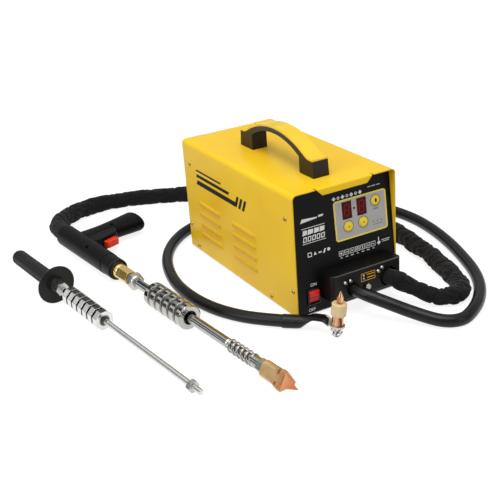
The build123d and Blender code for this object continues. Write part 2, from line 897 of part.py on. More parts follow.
core_low = floor_top + bracket_thickness
window_low = core_low + core_yoke
secondary_low = window_low + coil_gap + primary_height + coil_gap
lead_top = secondary_low + bar_thickness
coil_front = core_y - core_depth / 2 - core_window + coil_gap
lead_front = coil_front - lead_length
bar_y = panel_y + sheet
for bar_name, (x, z) in zip(("earth_busbar", "gun_busbar"), terminal_spots):
    with BuildPart() as bar:
        with BuildSketch(Plane.YZ.offset(x)):
            with BuildLine():
                FilletPolyline(
                    (bar_y, z - bar_foot),
                    (bar_y, lead_top + bar_thickness),
                    (coil_front, lead_top + bar_thickness),
                    radius=bar_thickness * 1.5,
                )
                offset(amount=bar_thickness, side=Side.RIGHT)
            make_face()
        extrude(amount=bar_width / 2, both=True)
        with BuildSketch(Plane.XZ.offset(-bar_y)):
            with Locations((x, z)):
                Circle(stud_radius + hole_gap)
        extrude(amount=-bar_thickness, mode=Mode.SUBTRACT)
    save(bar, bar_name)

with BuildPart() as stud_nuts:
    with BuildSketch(Plane.XZ.offset(-bar_y - bar_thickness)):
        with Locations(*terminal_spots):
            RegularPolygon(stud_nut_flats / 2, 6, major_radius=False)
            Circle(stud_radius + running_gap, mode=Mode.SUBTRACT)
    extrude(amount=-stud_nut_height)
save(stud_nuts, "terminal_nuts")

# Transformer: shell core, a primary and a secondary on the middle leg, and two angle brackets
core_width = core_leg + 4 * core_window
core_height = core_window_height + 2 * core_yoke
with BuildPart() as core:
    with BuildSketch(Plane.XZ.offset(-core_y)):
        with Locations((core_x, core_low)):
            Rectangle(core_width, core_height, align=(Align.CENTER, Align.MIN))
        for side in (-1, 1):
            with Locations((core_x + side * (core_leg + core_window) / 2, window_low)):
                Rectangle(core_window, core_window_height, align=(Align.CENTER, Align.MIN), mode=Mode.SUBTRACT)
    extrude(amount=core_depth / 2, both=True)
save(core, "transformer_core")


def winding(low, height):
    with BuildPart() as coil:
        with BuildSketch(Plane.XY.offset(low)):
            with Locations((core_x, core_y)):
                reach = 2 * (core_window - coil_gap)
                RectangleRounded(core_leg + reach, core_depth + reach, core_window / 2)
                Rectangle(core_leg + 2 * coil_gap, core_depth + 2 * coil_gap, mode=Mode.SUBTRACT)
        extrude(amount=height)
    return coil


primary = winding(window_low + coil_gap, primary_height)
save(primary, "primary_coil")

with BuildPart() as secondary:
    add(winding(secondary_low, secondary_height).part)
    with BuildSketch(Plane.XY.offset(secondary_low)):
        for x in (earth_x, gun_x):
            with Locations((x, lead_front)):
                Rectangle(bar_width, lead_length + core_window / 2, align=(Align.CENTER, Align.MIN))
    extrude(amount=bar_thickness)
save(secondary, "secondary_coil")

with BuildPart() as brackets:
    for side in (-1, 1):
        outer = core_x + side * (core_width / 2 + bracket_thickness)
        with BuildSketch(Plane.XZ.offset(-core_y)):
            with BuildLine():
                Polyline(
                    (outer, floor_top + bracket_height),
                    (outer, floor_top),
                    (outer - side * (bracket_reach + bracket_thickness), floor_top),
                )
                offset(amount=bracket_thickness, side=Side.RIGHT if side > 0 else Side.LEFT)
            make_face()
        extrude(amount=core_depth / 2 - core_yoke / 2, both=True)
save(brackets, "transformer_brackets")

# Thyristor module on a finned heat sink
fin_pitch = (sink_width - sink_fin) / (sink_fins - 1)
with BuildPart() as sink:
    with BuildSketch(Plane.XZ.offset(-sink_y)):
        with Locations((sink_x, floor_top + sink_height)):
            Rectangle(sink_width, sink_base, align=(Align.CENTER, Align.MAX))
        with Locations((sink_x, floor_top + (sink_height - sink_base) / 2)):
            with GridLocations(fin_pitch, 1, sink_fins, 1):
                Rectangle(sink_fin, sink_height - sink_base)
    extrude(amount=sink_length / 2, both=True)
save(sink, "heat_sink")

with BuildPart() as thyristor:
    with BuildSketch(Plane.XY.offset(floor_top + sink_height)):
        with Locations((sink_x, sink_y)):
            Rectangle(thyristor_size[0], thyristor_size[1])
    extrude(amount=thyristor_size[2])
    fillet(thyristor.edges().filter_by(Axis.Z), 2)
save(thyristor, "thyristor_module")

# Mains inlet gland in the rear panel
gland_axis = Plane(origin=(gland_x, rear_y, gland_z), x_dir=(0, 1, 0), z_dir=(0, 0, 1))
gland = turned(
    gland_axis,
    (-sheet - gland_length / 2, gland_bore),
    (-sheet - gland_length / 2, gland_body),
    (0, gland_body),
    (0, gland_flange),
    (gland_length / 4, gland_flange),
    (gland_length / 3, gland_flange - 2),
    (gland_length - 2, gland_flange - 3),
    (gland_length, gland_bore + 2),
    (gland_length, gland_bore),
)
save(gland, "cord_gland")


# Cables: straight runs joined by tangent arcs
def bend_radii(points):
    radii = []
    for before, here, after in zip(points, points[1:], points[2:]):
        first = Vector(here) - Vector(before)
        second = Vector(after) - Vector(here)
        turn = radians(first.get_angle(second))
        radii.append(0.45 * min(first.length, second.length) / tan(turn / 2))
    return radii


def cable(name, points, diameter):
    radii = bend_radii(points)
    with BuildPart() as tube:
        with BuildLine():
            route = FilletPolyline(*points, radius=radii)
        with BuildSketch(Plane(origin=route @ 0, z_dir=route % 0)):
            Circle(diameter / 2)
        sweep(path=route)
    filled = tube.part.volume / (pi * diameter**2 / 4 * route.length)
    print(f"{name}: length {route.length:.0f}, least radius {min(radii):.0f}, volume to section by length {filled:.4f}")
    return tube


stud_face_y = panel_y - stud_barrel_length
earth_route = [
    (earth_x, stud_face_y, earth_z),
    (earth_x, -231, earth_z),
    (14, -270, 33.5),
    (43, -304, 19.5),
    (70, -343, 11.2),
    (98.5, -357, 10.8),
    (127, -346, 10.8),
    (162, -323.5, 10.8),
    (198.5, -287, 10.8),
    (230, -238, 10.8),
    (255, -178, 10.8),
    (278, -112, 10.8),
    (294, -42, 10.8),
    (299, 22, 10.8),
    (288, 88, 10.8),
    (262, 148, 10.8),
    (222, 200, 10.8),
    (168, 240, 10.8),
    (105, 264, 10.8),
    (38, 272, 10.8),
    (-30, 266, 10.8),
    (-90, 242, 10.8),
    (-136, 202, 10.8),
    (-172, 150, 10.8),
    (-195, 90, 10.8),
    (-208, 24, 10.8),
    (-205, -48, 10.8),
    (-189, -106, 10.8),
    (-155, -163, 10.8),
    (-108, -212, 12.6),
]
earth_cable = cable("earth_cable", earth_route, earth_diameter)
save(earth_cable, "earth_cable")

# Contact electrode: a copper pin with its insulating sleeve, clamped to the cable lug by a cap nut
electrode = Plane(origin=electrode_foot, x_dir=electrode_lean, z_dir=(electrode_lean[2], 0, -electrode_lean[0]))
nut_top = cap_dome + cap_hex
pin_base = nut_top + lug_seat
neck_top = pin_base + neck_length
sleeve_top = neck_top + insulator_length
pin_top = sleeve_top + pin_length
pin = turned(
    electrode,
    (cap_dome, 0),
    (cap_dome, stud_thread),
    (pin_base, stud_thread),
    (pin_base, neck_radius),
    (neck_top, neck_radius),
    (neck_top, pin_radius),
    (pin_top - pin_point, pin_radius),
    (pin_top - 1, 1.2),
    (pin_top, 0),
)
save(pin, "electrode_pin")

insulator = turned(
    electrode,
    (neck_top, pin_radius + hole_gap),
    (neck_top, insulator_radius - 1.5),
    (neck_top + 1.5, insulator_radius),
    (sleeve_top - 1, insulator_radius),
    (sleeve_top, insulator_radius - 1),
    (sleeve_top, pin_radius + hole_gap),
)
save(insulator, "electrode_insulator")

with BuildPart() as cap_nut:
    add(hex_nut(electrode, cap_dome, cap_hex, cap_flats, stud_thread + running_gap).part)
    with BuildSketch(electrode):
        with BuildLine():
            dome_radius = cap_flats / 2 - 0.5
            Line((0, 0), (cap_dome, 0))
            Line((cap_dome, 0), (cap_dome, dome_radius))
            ThreePointArc(
                (cap_dome, dome_radius),
                (cap_dome * (1 - cos(pi / 4)), dome_radius * sin(pi / 4)),
                (0, 0),
            )
        make_face()
    revolve(axis=Axis(electrode.origin, electrode.x_dir))
save(cap_nut, "electrode_nut")

# Cable lug: a flat tongue rising from the cable's end and stepped down onto a ring under the electrode
cable_end = Vector(earth_route[-1])
cable_run = (cable_end - Vector(earth_route[-2])).normalized()
ring_centre = electrode.from_local_coords((nut_top + lug_seat / 2, 0, 0))
ring_side = (cable_end - ring_centre).normalized()
ring_side = (ring_side - electrode.x_dir * ring_side.dot(electrode.x_dir)).normalized()
tongue_rim = ring_centre + ring_side * (lug_ring - 1)
tongue_knee = ring_centre + ring_side * (lug_ring + lug_knee) + Vector(0, 0, lug_step)
tongue_mid = cable_end + cable_run * (shrink_neck + 2) + Vector(0, 0, lug_rise)
with BuildPart() as lug:
    with BuildLine() as tongue_line:
        FilletPolyline(cable_end + cable_run * seat_gap * 1.5, tongue_mid, tongue_knee, tongue_rim, radius=lug_bend)
    tongue_way = tongue_line.line % 0
    with BuildSketch(Plane(origin=tongue_line.line @ 0, x_dir=(-cable_run.Y, cable_run.X, 0), z_dir=tongue_way)):
        Rectangle(lug_width, lug_thickness)
    sweep(path=tongue_line.line)
    with BuildSketch(across(electrode, nut_top)):
        Circle(lug_ring)
    extrude(amount=lug_seat)
    with BuildSketch(across(electrode, nut_top - lug_ring)):
        Circle(neck_radius + seat_gap)
    extrude(amount=lug_ring, mode=Mode.SUBTRACT)
    with BuildSketch(across(electrode, nut_top + lug_seat)):
        Circle(neck_radius + seat_gap)
    extrude(amount=lug_ring, mode=Mode.SUBTRACT)
    with BuildSketch(across(electrode, nut_top)):
        Circle(stud_thread + hole_gap)
    extrude(amount=lug_seat, mode=Mode.SUBTRACT)
save(lug, "cable_lug")

# Heat shrink over the cable's end, drawn flat over the tongue
shrink_radius = earth_diameter / 2 + shrink_wall
end_plane = Plane(origin=cable_end, x_dir=(-cable_run.Y, cable_run.X, 0), z_dir=cable_run)
with BuildPart() as heat_shrink:
    with BuildSketch(end_plane.offset(-shrink_length)):
        Circle(shrink_radius)
        Circle(earth_diameter / 2 + running_gap, mode=Mode.SUBTRACT)
    extrude(amount=shrink_length)
    with BuildSketch(end_plane):
        RectangleRounded(2 * shrink_radius, 2 * shrink_radius, shrink_radius - 0.01)
    with BuildSketch(Plane(origin=tongue_mid - tongue_way * 7, x_dir=end_plane.x_dir, z_dir=tongue_way)):
        RectangleRounded(lug_width + 4, lug_thickness + 4, 2)
    loft()
    with BuildLine() as tail_line:
        tail_end = tongue_mid + (tongue_knee - tongue_mid) * 0.75
        FilletPolyline(tongue_mid - tongue_way * 8, tongue_mid, tail_end, radius=lug_bend)
    with BuildSketch(Plane(origin=tail_line.line @ 0, x_dir=end_plane.x_dir, z_dir=tongue_way)):
        RectangleRounded(lug_width + 3, lug_thickness + 3, 1.5)
    sweep(path=tail_line.line)
    with BuildSketch(Plane(origin=tongue_line.line @ 0, x_dir=end_plane.x_dir, z_dir=tongue_way)):
        Rectangle(lug_width + 2 * running_gap, lug_thickness + 2 * running_gap)
    sweep(path=tongue_line.line, mode=Mode.SUBTRACT)
save(heat_shrink, "heat_shrink")

# Gun frame: X forward along the axis, Y towards the grip, Z up
heading = radians(gun_heading)
gun = Plane(origin=(gun_rear[0], gun_rear[1], gun_axis_z), x_dir=(cos(heading), sin(heading), 0), z_dir=(0, 0, 1))
lean = radians(grip_lean)
grip = Plane(
    origin=gun.from_local_coords((grip_station, 0, 0)),
    x_dir=gun.x_dir * cos(lean) + gun.y_dir * sin(lean),
    z_dir=(0, 0, 1),
)


def grip_section(distance):
    return Plane(origin=grip.from_local_coords((0, distance, 0)), x_dir=grip.x_dir, z_dir=grip.y_dir)


with BuildPart() as gun_cavity:
    with BuildSketch(across(gun, barrel_end_wall)):
        Circle(barrel_radius - barrel_wall)
    extrude(amount=barrel_length - barrel_end_wall)
    for distance, wide, thick in grip_sections[:-1]:
        with BuildSketch(grip_section(distance)):
            Ellipse(wide - grip_wall, thick - grip_wall)
    with BuildSketch(grip_section(grip_sections[-1][0] - grip_end_round)):
        Ellipse(grip_sections[-1][1] - 2 * grip_wall, grip_sections[-1][2] - 2 * grip_wall)
    loft()
    with BuildSketch(gun.offset(-barrel_radius)):
        with Locations(*shell_screw_spots):
            Circle(shell_boss)
    extrude(amount=2 * barrel_radius, mode=Mode.SUBTRACT)


with BuildPart() as grip_web:
    with BuildSketch(grip.offset(-web_thickness / 2)):
        with BuildLine():
            Polyline(*web_outline, close=True)
        make_face()
    extrude(amount=web_thickness)
    fillet(grip_web.edges().filter_by(Axis.Z).sort_by(Axis(grip.origin, grip.y_dir))[-3:-1], web_round)
    fillet(grip_web.faces().sort_by(Axis.Z)[-1].edges() + grip_web.faces().sort_by(Axis.Z)[0].edges(), 2.5)


def gun_shell(half_kept):
    with BuildPart() as shell:
        with BuildSketch(gun):
            with BuildLine():
                Polyline(
                    (0, 0),
                    (0, barrel_radius - 2),
                    (2, barrel_radius),
                    (barrel_length, barrel_front_radius),
                    (barrel_length, 0),
                    close=True,
                )
            make_face()
        revolve(axis=Axis(gun.origin, gun.x_dir))
        for distance, wide, thick in grip_sections:
            with BuildSketch(grip_section(distance)):
                Ellipse(wide, thick)
        loft()
        add(grip_web.part)
        fillet(shell.faces().sort_by(Axis(grip.origin, grip.y_dir))[-1].edges(), grip_end_round)
        add(gun_cavity.part, mode=Mode.SUBTRACT)
        with BuildSketch(across(gun, 0)):
            Circle(lead_radius + hole_gap)
        extrude(amount=barrel_end_wall, mode=Mode.SUBTRACT)
        with BuildSketch(grip.offset(-trigger_thickness / 2 - trigger_gap)):
            with Locations((trigger_inner - trigger_travel - 2, trigger_low - trigger_gap)):
                depth = trigger_front - trigger_inner + trigger_travel
                height = trigger_high - trigger_low + 2 * trigger_gap
                Rectangle(depth, height, align=(Align.MIN, Align.MIN))
        extrude(amount=trigger_thickness + 2 * trigger_gap, mode=Mode.SUBTRACT)
        with BuildSketch(gun.offset(shell_screw_seat)):
            with Locations(*shell_screw_spots):
                Circle(shell_screw_head + hole_gap)
        extrude(amount=barrel_radius, mode=Mode.SUBTRACT)
        with BuildSketch(gun.offset(-shell_screw_reach)):
            with Locations(*shell_screw_spots):
                Circle(shell_screw_radius + running_gap)
        extrude(amount=shell_screw_reach + shell_screw_seat, mode=Mode.SUBTRACT)
        split(bisect_by=gun, keep=half_kept)
    return shell


save(gun_shell(Keep.TOP), "gun_shell_upper")
save(gun_shell(Keep.BOTTOM), "gun_shell_lower")

with BuildPart() as shell_screws:
    with BuildSketch(gun.offset(shell_screw_seat)):
        with Locations(*shell_screw_spots):
            Circle(shell_screw_head)
    extrude(amount=shell_screw_head * 0.7)
    with BuildSketch(gun.offset(shell_screw_seat)):
        with Locations(*shell_screw_spots):
            Circle(shell_screw_radius)
    extrude(amount=-shell_screw_seat - shell_screw_reach + 1)
save(shell_screws, "gun_shell_screws")

# Trigger and its switch in the grip
with BuildPart() as trigger:
    with BuildSketch(grip.offset(-trigger_thickness / 2)):
        with BuildLine():
            Polyline(
                (trigger_inner, trigger_low),
                (trigger_front, trigger_low),
                (trigger_front_far, trigger_high),
                (trigger_inner, trigger_high),
                close=True,
            )
        make_face()
    extrude(amount=trigger_thickness)
    fillet(trigger.edges().filter_by(Axis.Z).sort_by(Axis(grip.origin, grip.x_dir))[-2:], trigger_round)
    fillet(trigger.faces().sort_by(Axis(grip.origin, grip.x_dir))[-1].edges(), 1.2)
save(trigger, "gun_trigger")

with BuildPart() as trigger_switch:
    with BuildSketch(grip.offset(-switch_thickness / 2)):
        with Locations((switch_front, (trigger_low + trigger_high) / 2)):
            Rectangle(switch_front + switch_rear, trigger_high - trigger_low - 4, align=(Align.MAX, Align.CENTER))
    extrude(amount=switch_thickness)
save(trigger_switch, "trigger_switch")

# Barrel front: nose ring, brass adapter, lock nut and rod
nose_front = barrel_length + nose_length
nose = turned(
    gun,
    (barrel_length, adapter_neck + seat_gap),
    (barrel_length, nose_radius - 1),
    (barrel_length + 1, nose_radius),
    (nose_front - nose_chamfer, nose_radius),
    (nose_front, nose_radius - nose_chamfer),
    (nose_front, adapter_neck + seat_gap),
)
save(nose, "gun_nose_ring")

flange_rear = barrel_length - seat_gap - adapter_flange_length
bead_front = nose_front + adapter_bead_length
hex_front = bead_front + adapter_hex
with BuildPart() as adapter:
    with BuildSketch(gun):
        with BuildLine():
            Polyline(
                (nose_front, adapter_neck),
                (barrel_length, adapter_neck),
                (barrel_length, adapter_flange),
                (flange_rear, adapter_flange),
                (flange_rear, 0),
                (bead_front, 0),
                (bead_front, adapter_neck - 2),
            )
            ThreePointArc(
                (bead_front, adapter_neck - 2),
                ((nose_front + bead_front) / 2, adapter_bead),
                (nose_front, adapter_neck),
            )
        make_face()
    revolve(axis=Axis(gun.origin, gun.x_dir))
    add(hex_nut(gun, bead_front, adapter_hex, adapter_flats, adapter_bore).part)
    with BuildSketch(across(gun, flange_rear + adapter_flange_length / 2)):
        Circle(adapter_bore + running_gap)
    extrude(amount=hex_front - flange_rear, mode=Mode.SUBTRACT)
save(adapter, "brass_adapter")

with BuildPart() as gun_lead:
    with BuildSketch(across(gun, 0)):
        Circle(lead_radius)
    extrude(amount=flange_rear)
save(gun_lead, "gun_lead")

lock_nut_rear = hex_front + lock_nut_gap
dome_front = lock_nut_rear + lock_nut_hex + lock_nut_dome
with BuildPart() as lock_nut:
    add(hex_nut(gun, lock_nut_rear, lock_nut_hex, lock_nut_flats, rod_radius + running_gap).part)
    with BuildSketch(gun):
        with BuildLine():
            dome_base = lock_nut_rear + lock_nut_hex
            Polyline(
                (dome_front, rod_radius + running_gap),
                (dome_base, rod_radius + running_gap),
                (dome_base, lock_nut_flats / 2 - 0.5),
            )
            ThreePointArc(
                (dome_base, lock_nut_flats / 2 - 0.5),
                (dome_base + lock_nut_dome * 0.7, lock_nut_flats / 2 - 1.6),
                (dome_front, lock_nut_dome_radius),
            )
            Line((dome_front, lock_nut_dome_radius), (dome_front, rod_radius + running_gap))
        make_face()
    revolve(axis=Axis(gun.origin, gun.x_dir))
save(lock_nut, "gun_lock_nut")

spring_end_rise = spring_wire * spring_pitch / hypot(spring_pitch, 2 * pi * spring_mean_radius)
spring_front = spring_start + spring_pitch * spring_turns + 1.5 * spring_wire + spring_end_rise
collar_start = spring_front + seat_gap
collar_front = collar_start + collar_length
head_start = collar_front + head_nut_length
rod = turned(
    gun,
    (flange_rear + adapter_flange_length / 2, 0),
    (flange_rear + adapter_flange_length / 2, rod_radius),
    (spring_start - 2, rod_radius),
    (spring_start, rod_front_radius),
    (head_start + rod_in_head, rod_front_radius),
    (head_start + rod_in_head, 0),
)
save(rod, "gun_rod")

# Sliding weight: round lands between rounded grooves, with a recess round the rod in front
weight_land = (weight_length - weight_grooves * weight_groove_width) / (weight_grooves + 1)
with BuildPart() as weight:
    with BuildSketch(gun):
        with BuildLine():
            Polyline(
                (weight_start, rod_radius + running_gap),
                (weight_start, weight_radius - 2),
                (weight_start + 2, weight_radius),
                (weight_start + weight_length - 2, weight_radius),
                (weight_start + weight_length, weight_radius - 2),
                (weight_start + weight_length, weight_recess_radius),
                (weight_start + weight_length - weight_recess_depth, weight_recess_radius),
                (weight_start + weight_length - weight_recess_depth, rod_radius + running_gap),
                close=True,
            )
        make_face()
    revolve(axis=Axis(gun.origin, gun.x_dir))
    with BuildSketch(gun):
        for i in range(weight_grooves):
            middle = weight_start + (i + 1) * weight_land + (i + 0.5) * weight_groove_width
            with Locations((middle, weight_radius)):
                Ellipse(weight_groove_width / 2, weight_groove_depth)
    revolve(axis=Axis(gun.origin, gun.x_dir), mode=Mode.SUBTRACT)
save(weight, "gun_weight")


# Buffer spring: one wire on biarcs, two to each half turn
def coil_point(angle):
    along = spring_start + spring_wire + spring_pitch * angle / (2 * pi)
    place = (along, spring_mean_radius * cos(angle), spring_mean_radius * sin(angle))
    return gun.from_local_coords(place)


def coil_tangent(angle):
    rise = spring_pitch / (2 * pi)
    across_axis = gun.z_dir * cos(angle) - gun.y_dir * sin(angle)
    return (gun.x_dir * rise + across_axis * spring_mean_radius).normalized()


def biarc_joint(start, start_way, end, end_way):
    chord = end - start
    ways = start_way + end_way
    spread = 2 * (1 - start_way.dot(end_way))
    along = chord.dot(ways)
    reach = (sqrt(along**2 + spread * chord.dot(chord)) - along) / spread
    first = start + start_way * reach
    second = end - end_way * reach
    return (first + second) * 0.5, (second - first).normalized()


with BuildPart() as spring:
    with BuildLine() as wire:
        Line(coil_point(0) - coil_tangent(0) * spring_wire, coil_point(0))
        for i in range(2 * spring_turns):
            here, after = coil_point(i * pi), coil_point((i + 1) * pi)
            joint, way = biarc_joint(here, coil_tangent(i * pi), after, coil_tangent((i + 1) * pi))
            TangentArc(here, joint, tangent=coil_tangent(i * pi))
            TangentArc(joint, after, tangent=way)
        last = 2 * pi * spring_turns
        Line(coil_point(last), coil_point(last) + coil_tangent(last) * spring_wire)
    with BuildSketch(Plane(origin=wire.line @ 0, z_dir=wire.line % 0)):
        Circle(spring_wire / 2)
    sweep(path=wire.line)
steps = [coil_point(2 * pi * spring_turns * i / 400) for i in range(401)]
apart = [(a - b).length for i, a in enumerate(steps) for b in steps[i + 40 :]]
print(f"gun_spring: least gap to itself {min(apart) - spring_wire:.2f}")
save(spring, "gun_spring")

collar = turned(
    gun,
    (collar_start, rod_front_radius + running_gap),
    (collar_start, collar_radius + 1.2),
    (collar_start + 2, collar_radius + 1.2),
    (collar_start + 2.6, collar_radius),
    (collar_front, collar_radius),
    (collar_front, rod_front_radius + running_gap),
)
save(collar, "spring_collar")

head_nut = hex_nut(gun, collar_front, head_nut_length, head_nut_flats, rod_front_radius + running_gap)
save(head_nut, "head_nut")

# Pulling head: a three sided copper body, hooked behind its corners and drawn to a point
body_front = head_start + head_body_length
flare_front = body_front + head_flare_length
with BuildPart() as head:
    with BuildSketch(across(gun, head_start)):
        RegularPolygon(head_flat, 3, major_radius=False, rotation=90)
    extrude(amount=head_body_length + head_flare_length)
    with BuildSketch(gun):
        with BuildLine():
            Polyline(
                (head_start, 0),
                (head_start, head_body_radius - 1),
                (head_start + 1, head_body_radius),
                (body_front - 2 * head_slot, head_body_radius),
                (body_front, head_flare_radius - 0.6),
                (flare_front, head_flare_radius - 0.6),
                (flare_front, 0),
                close=True,
            )
        make_face()
    revolve(axis=Axis(gun.origin, gun.x_dir), mode=Mode.INTERSECT)
    with BuildSketch(across(gun, body_front - head_slot)):
        with PolarLocations(head_slot_floor, 3, start_angle=90):
            Rectangle(head_flare_radius, head_flare_radius, align=(Align.MIN, Align.CENTER))
    extrude(amount=head_slot, mode=Mode.SUBTRACT)
    tip_ends = ((0, head_tip_base), (head_tip_shoulder, head_tip_waist), (head_tip_length, 0.8))
    for (low, low_radius), (high, high_radius) in zip(tip_ends, tip_ends[1:]):
        with BuildSketch(across(gun, flare_front + low)):
            RegularPolygon(low_radius, 3, rotation=90)
        with BuildSketch(across(gun, flare_front + high)):
            RegularPolygon(high_radius, 3, rotation=90)
        loft()
    with BuildSketch(across(gun, head_start)):
        Circle(rod_front_radius + running_gap)
    extrude(amount=rod_in_head, mode=Mode.SUBTRACT)
save(head, "pull_head")

# Sleeved cable from the right terminal to the gun
sleeve_rear = gun.from_local_coords((-40, 0, 0))
sleeve_route = [
    (gun_x, stud_face_y, gun_z),
    (gun_x, -230, gun_z),
    (86, -253, 30),
    (106, -273, 19),
    (123.5, -290, 15.5),
    (149, -292, 15.5),
    (170, -277, 15.5),
    (184, -234, 15.5),
    (199, -184, 15.5),
    (211, -132, 15.5),
    (220, -78, 15.5),
    (225, -20, 15.5),
    (224, 40, 15.5),
    (216, 96, 21),
    (204, 148, 34),
    (188, 200, 44),
    (166, 258, 43),
    (136, 312, 29),
    (96, 358, 17),
    (40, 396, 15.5),
    (-30, 438, 15.5),
    (-106, 478, 15.5),
    (-184, 488, 16),
    (-242, 467, 18),
    (-281, 432, 20),
    (sleeve_rear.X, sleeve_rear.Y, sleeve_rear.Z),
    (gun_rear[0], gun_rear[1], gun_axis_z),
]
gun_cable = cable("gun_cable", sleeve_route, sleeve_diameter)
save(gun_cable, "gun_cable")

# Slide hammer frame: X forward along the rod
aim = radians(hammer_heading)
pitch = radians(hammer_pitch)
hammer = Plane(
    origin=hammer_end,
    x_dir=(cos(pitch) * cos(aim), cos(pitch) * sin(aim), -sin(pitch)),
    z_dir=(sin(pitch) * cos(aim), sin(pitch) * sin(aim), cos(pitch)),
)
hub_front = hammer_grip_length + guard_thickness + guard_hub
rod_tail = hammer_rod_radius + running_gap
with BuildPart() as hammer_grip:
    with BuildSketch(hammer):
        with BuildLine():
            Line((0, 0), (hammer_rod_start, 0))
            Polyline(
                (hammer_rod_start, 0),
                (hammer_rod_start, rod_tail),
                (hub_front, rod_tail),
                (hub_front, guard_hub_radius - 1),
                (hub_front - 1, guard_hub_radius),
                (hammer_grip_length + guard_thickness, guard_hub_radius + 1),
                (hammer_grip_length + guard_thickness + guard_dish, guard_radius - 1),
                (hammer_grip_length + guard_thickness + guard_dish - 1, guard_radius),
                (hammer_grip_length + guard_dish, guard_radius - 1),
                (hammer_grip_length, hammer_grip_radius + 3),
                (hammer_grip_length - 5, hammer_grip_radius + 0.5),
                (hammer_grip_radius, hammer_grip_radius),
            )
            RadiusArc((hammer_grip_radius, hammer_grip_radius), (0, 0), -hammer_grip_radius)
        make_face()
    revolve(axis=Axis(hammer.origin, hammer.x_dir))
    with BuildSketch(across(hammer, hammer_grip_radius)):
        with PolarLocations(hammer_grip_radius + hammer_flute_radius * 0.6, hammer_flutes):
            Circle(hammer_flute_radius)
    extrude(amount=hammer_grip_length - 2 * hammer_grip_radius, mode=Mode.SUBTRACT)
save(hammer_grip, "hammer_grip")

relief_start = end_nut_start + end_nut_length
hammer_rod = turned(
    hammer,
    (hammer_rod_start, 0),
    (hammer_rod_start, hammer_rod_radius),
    (relief_start, hammer_rod_radius),
    (relief_start, thread_radius - thread_relief_depth),
    (relief_start + thread_relief, thread_radius - thread_relief_depth),
    (relief_start + thread_relief, thread_radius),
    (hammer_rod_length - 1, thread_radius),
    (hammer_rod_length, thread_radius - 1),
    (hammer_rod_length, 0),
)
save(hammer_rod, "hammer_rod")

rear_nut = hex_nut(hammer, hub_front, rear_nut_length, rear_nut_flats, rod_tail)
save(rear_nut, "hammer_rear_nut")
end_nut = hex_nut(hammer, end_nut_start, end_nut_length, end_nut_flats, rod_tail)
save(end_nut, "hammer_end_nut")

# Slider: an eight sided bar cut into lands by ring grooves
slider_length = slider_lands * slider_land + (slider_lands - 1) * slider_groove
with BuildPart() as slider:
    with BuildSketch(across(hammer, slider_start)):
        Circle(slider_radius)
        RegularPolygon(slider_apothem, 8, major_radius=False, rotation=22.5, mode=Mode.INTERSECT)
        Circle(hammer_rod_radius + running_gap, mode=Mode.SUBTRACT)
    extrude(amount=slider_length)
    for i in range(slider_lands - 1):
        with BuildSketch(across(hammer, slider_start + slider_land + i * (slider_land + slider_groove))):
            Circle(slider_radius + 1)
            Circle(slider_radius - slider_groove_depth, mode=Mode.SUBTRACT)
        extrude(amount=slider_groove, mode=Mode.SUBTRACT)
save(slider, "hammer_slider")
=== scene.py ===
import json
from math import cos, pi, radians, sin, tan

import bpy
from mathutils import Matrix, Vector, noise


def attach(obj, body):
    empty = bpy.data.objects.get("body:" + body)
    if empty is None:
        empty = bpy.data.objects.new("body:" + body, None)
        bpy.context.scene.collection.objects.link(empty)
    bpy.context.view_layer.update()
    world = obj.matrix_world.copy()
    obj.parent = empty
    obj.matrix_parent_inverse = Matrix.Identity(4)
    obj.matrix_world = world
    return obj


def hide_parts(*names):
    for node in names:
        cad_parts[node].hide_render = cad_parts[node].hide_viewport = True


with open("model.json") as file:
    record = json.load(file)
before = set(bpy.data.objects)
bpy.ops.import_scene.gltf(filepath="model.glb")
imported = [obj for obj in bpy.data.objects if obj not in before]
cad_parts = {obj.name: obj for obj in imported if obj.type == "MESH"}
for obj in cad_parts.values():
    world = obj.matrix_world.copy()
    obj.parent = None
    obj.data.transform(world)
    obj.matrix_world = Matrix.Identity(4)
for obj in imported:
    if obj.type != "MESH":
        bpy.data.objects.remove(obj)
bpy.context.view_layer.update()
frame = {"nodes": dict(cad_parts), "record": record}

scene = bpy.context.scene
scene.view_settings.view_transform = "Standard"
mm = 0.001
caseBody = "welder"
print("frame loaded:", len(frame["nodes"]), "nodes")


def linearColor(code):
    parts = [int(code[i:i + 2], 16) / 255 for i in (0, 2, 4)]
    return [c / 12.92 if c <= 0.04045 else ((c + 0.055) / 1.055) ** 2.4 for c in parts] + [1.0]


def addNode(tree, kind, links=None, **settings):
    node = tree.nodes.new(kind)
    for key, value in settings.items():
        setattr(node, key, value)
    for key, value in (links or {}).items():
        if isinstance(value, bpy.types.NodeSocket):
            tree.links.new(value, node.inputs[key])
        else:
            node.inputs[key].default_value = value
    return node


def pickOut(pieces):
    bpy.ops.object.select_all(action="DESELECT")
    for piece in pieces:
        piece.select_set(True)
    bpy.context.view_layer.objects.active = pieces[0]


# camera as the photograph was taken: a long lens, a little above the bench
cameraView = {
    "azimuth": 28.131, "elevation": 24.072, "roll": -4.33, "place": (-801.7, -1358.5, 741.2),
    "lens": 69.06, "sensor": 36, "nearest": 0.05, "farthest": 60,
}
azimuth, elevation, roll = (radians(cameraView[k]) for k in ("azimuth", "elevation", "roll"))
look = Vector((sin(azimuth) * cos(elevation), cos(azimuth) * cos(elevation), -sin(elevation)))
level = look.cross(Vector((0, 0, 1))).normalized()
upright = level.cross(look)
rightWay = level * cos(roll) + upright * sin(roll)
upWay = upright * cos(roll) - level * sin(roll)
bpy.ops.object.camera_add()
camera = bpy.context.object
camera.name = "photoCamera"
cameraTurn = Matrix((rightWay, upWay, -look)).transposed().to_4x4()
cameraTurn.translation = Vector(cameraView["place"]) * mm
camera.matrix_world = cameraTurn
camera.data.lens, camera.data.sensor_width = cameraView["lens"], cameraView["sensor"]
camera.data.clip_start, camera.data.clip_end = cameraView["nearest"], cameraView["farthest"]
scene.camera = camera

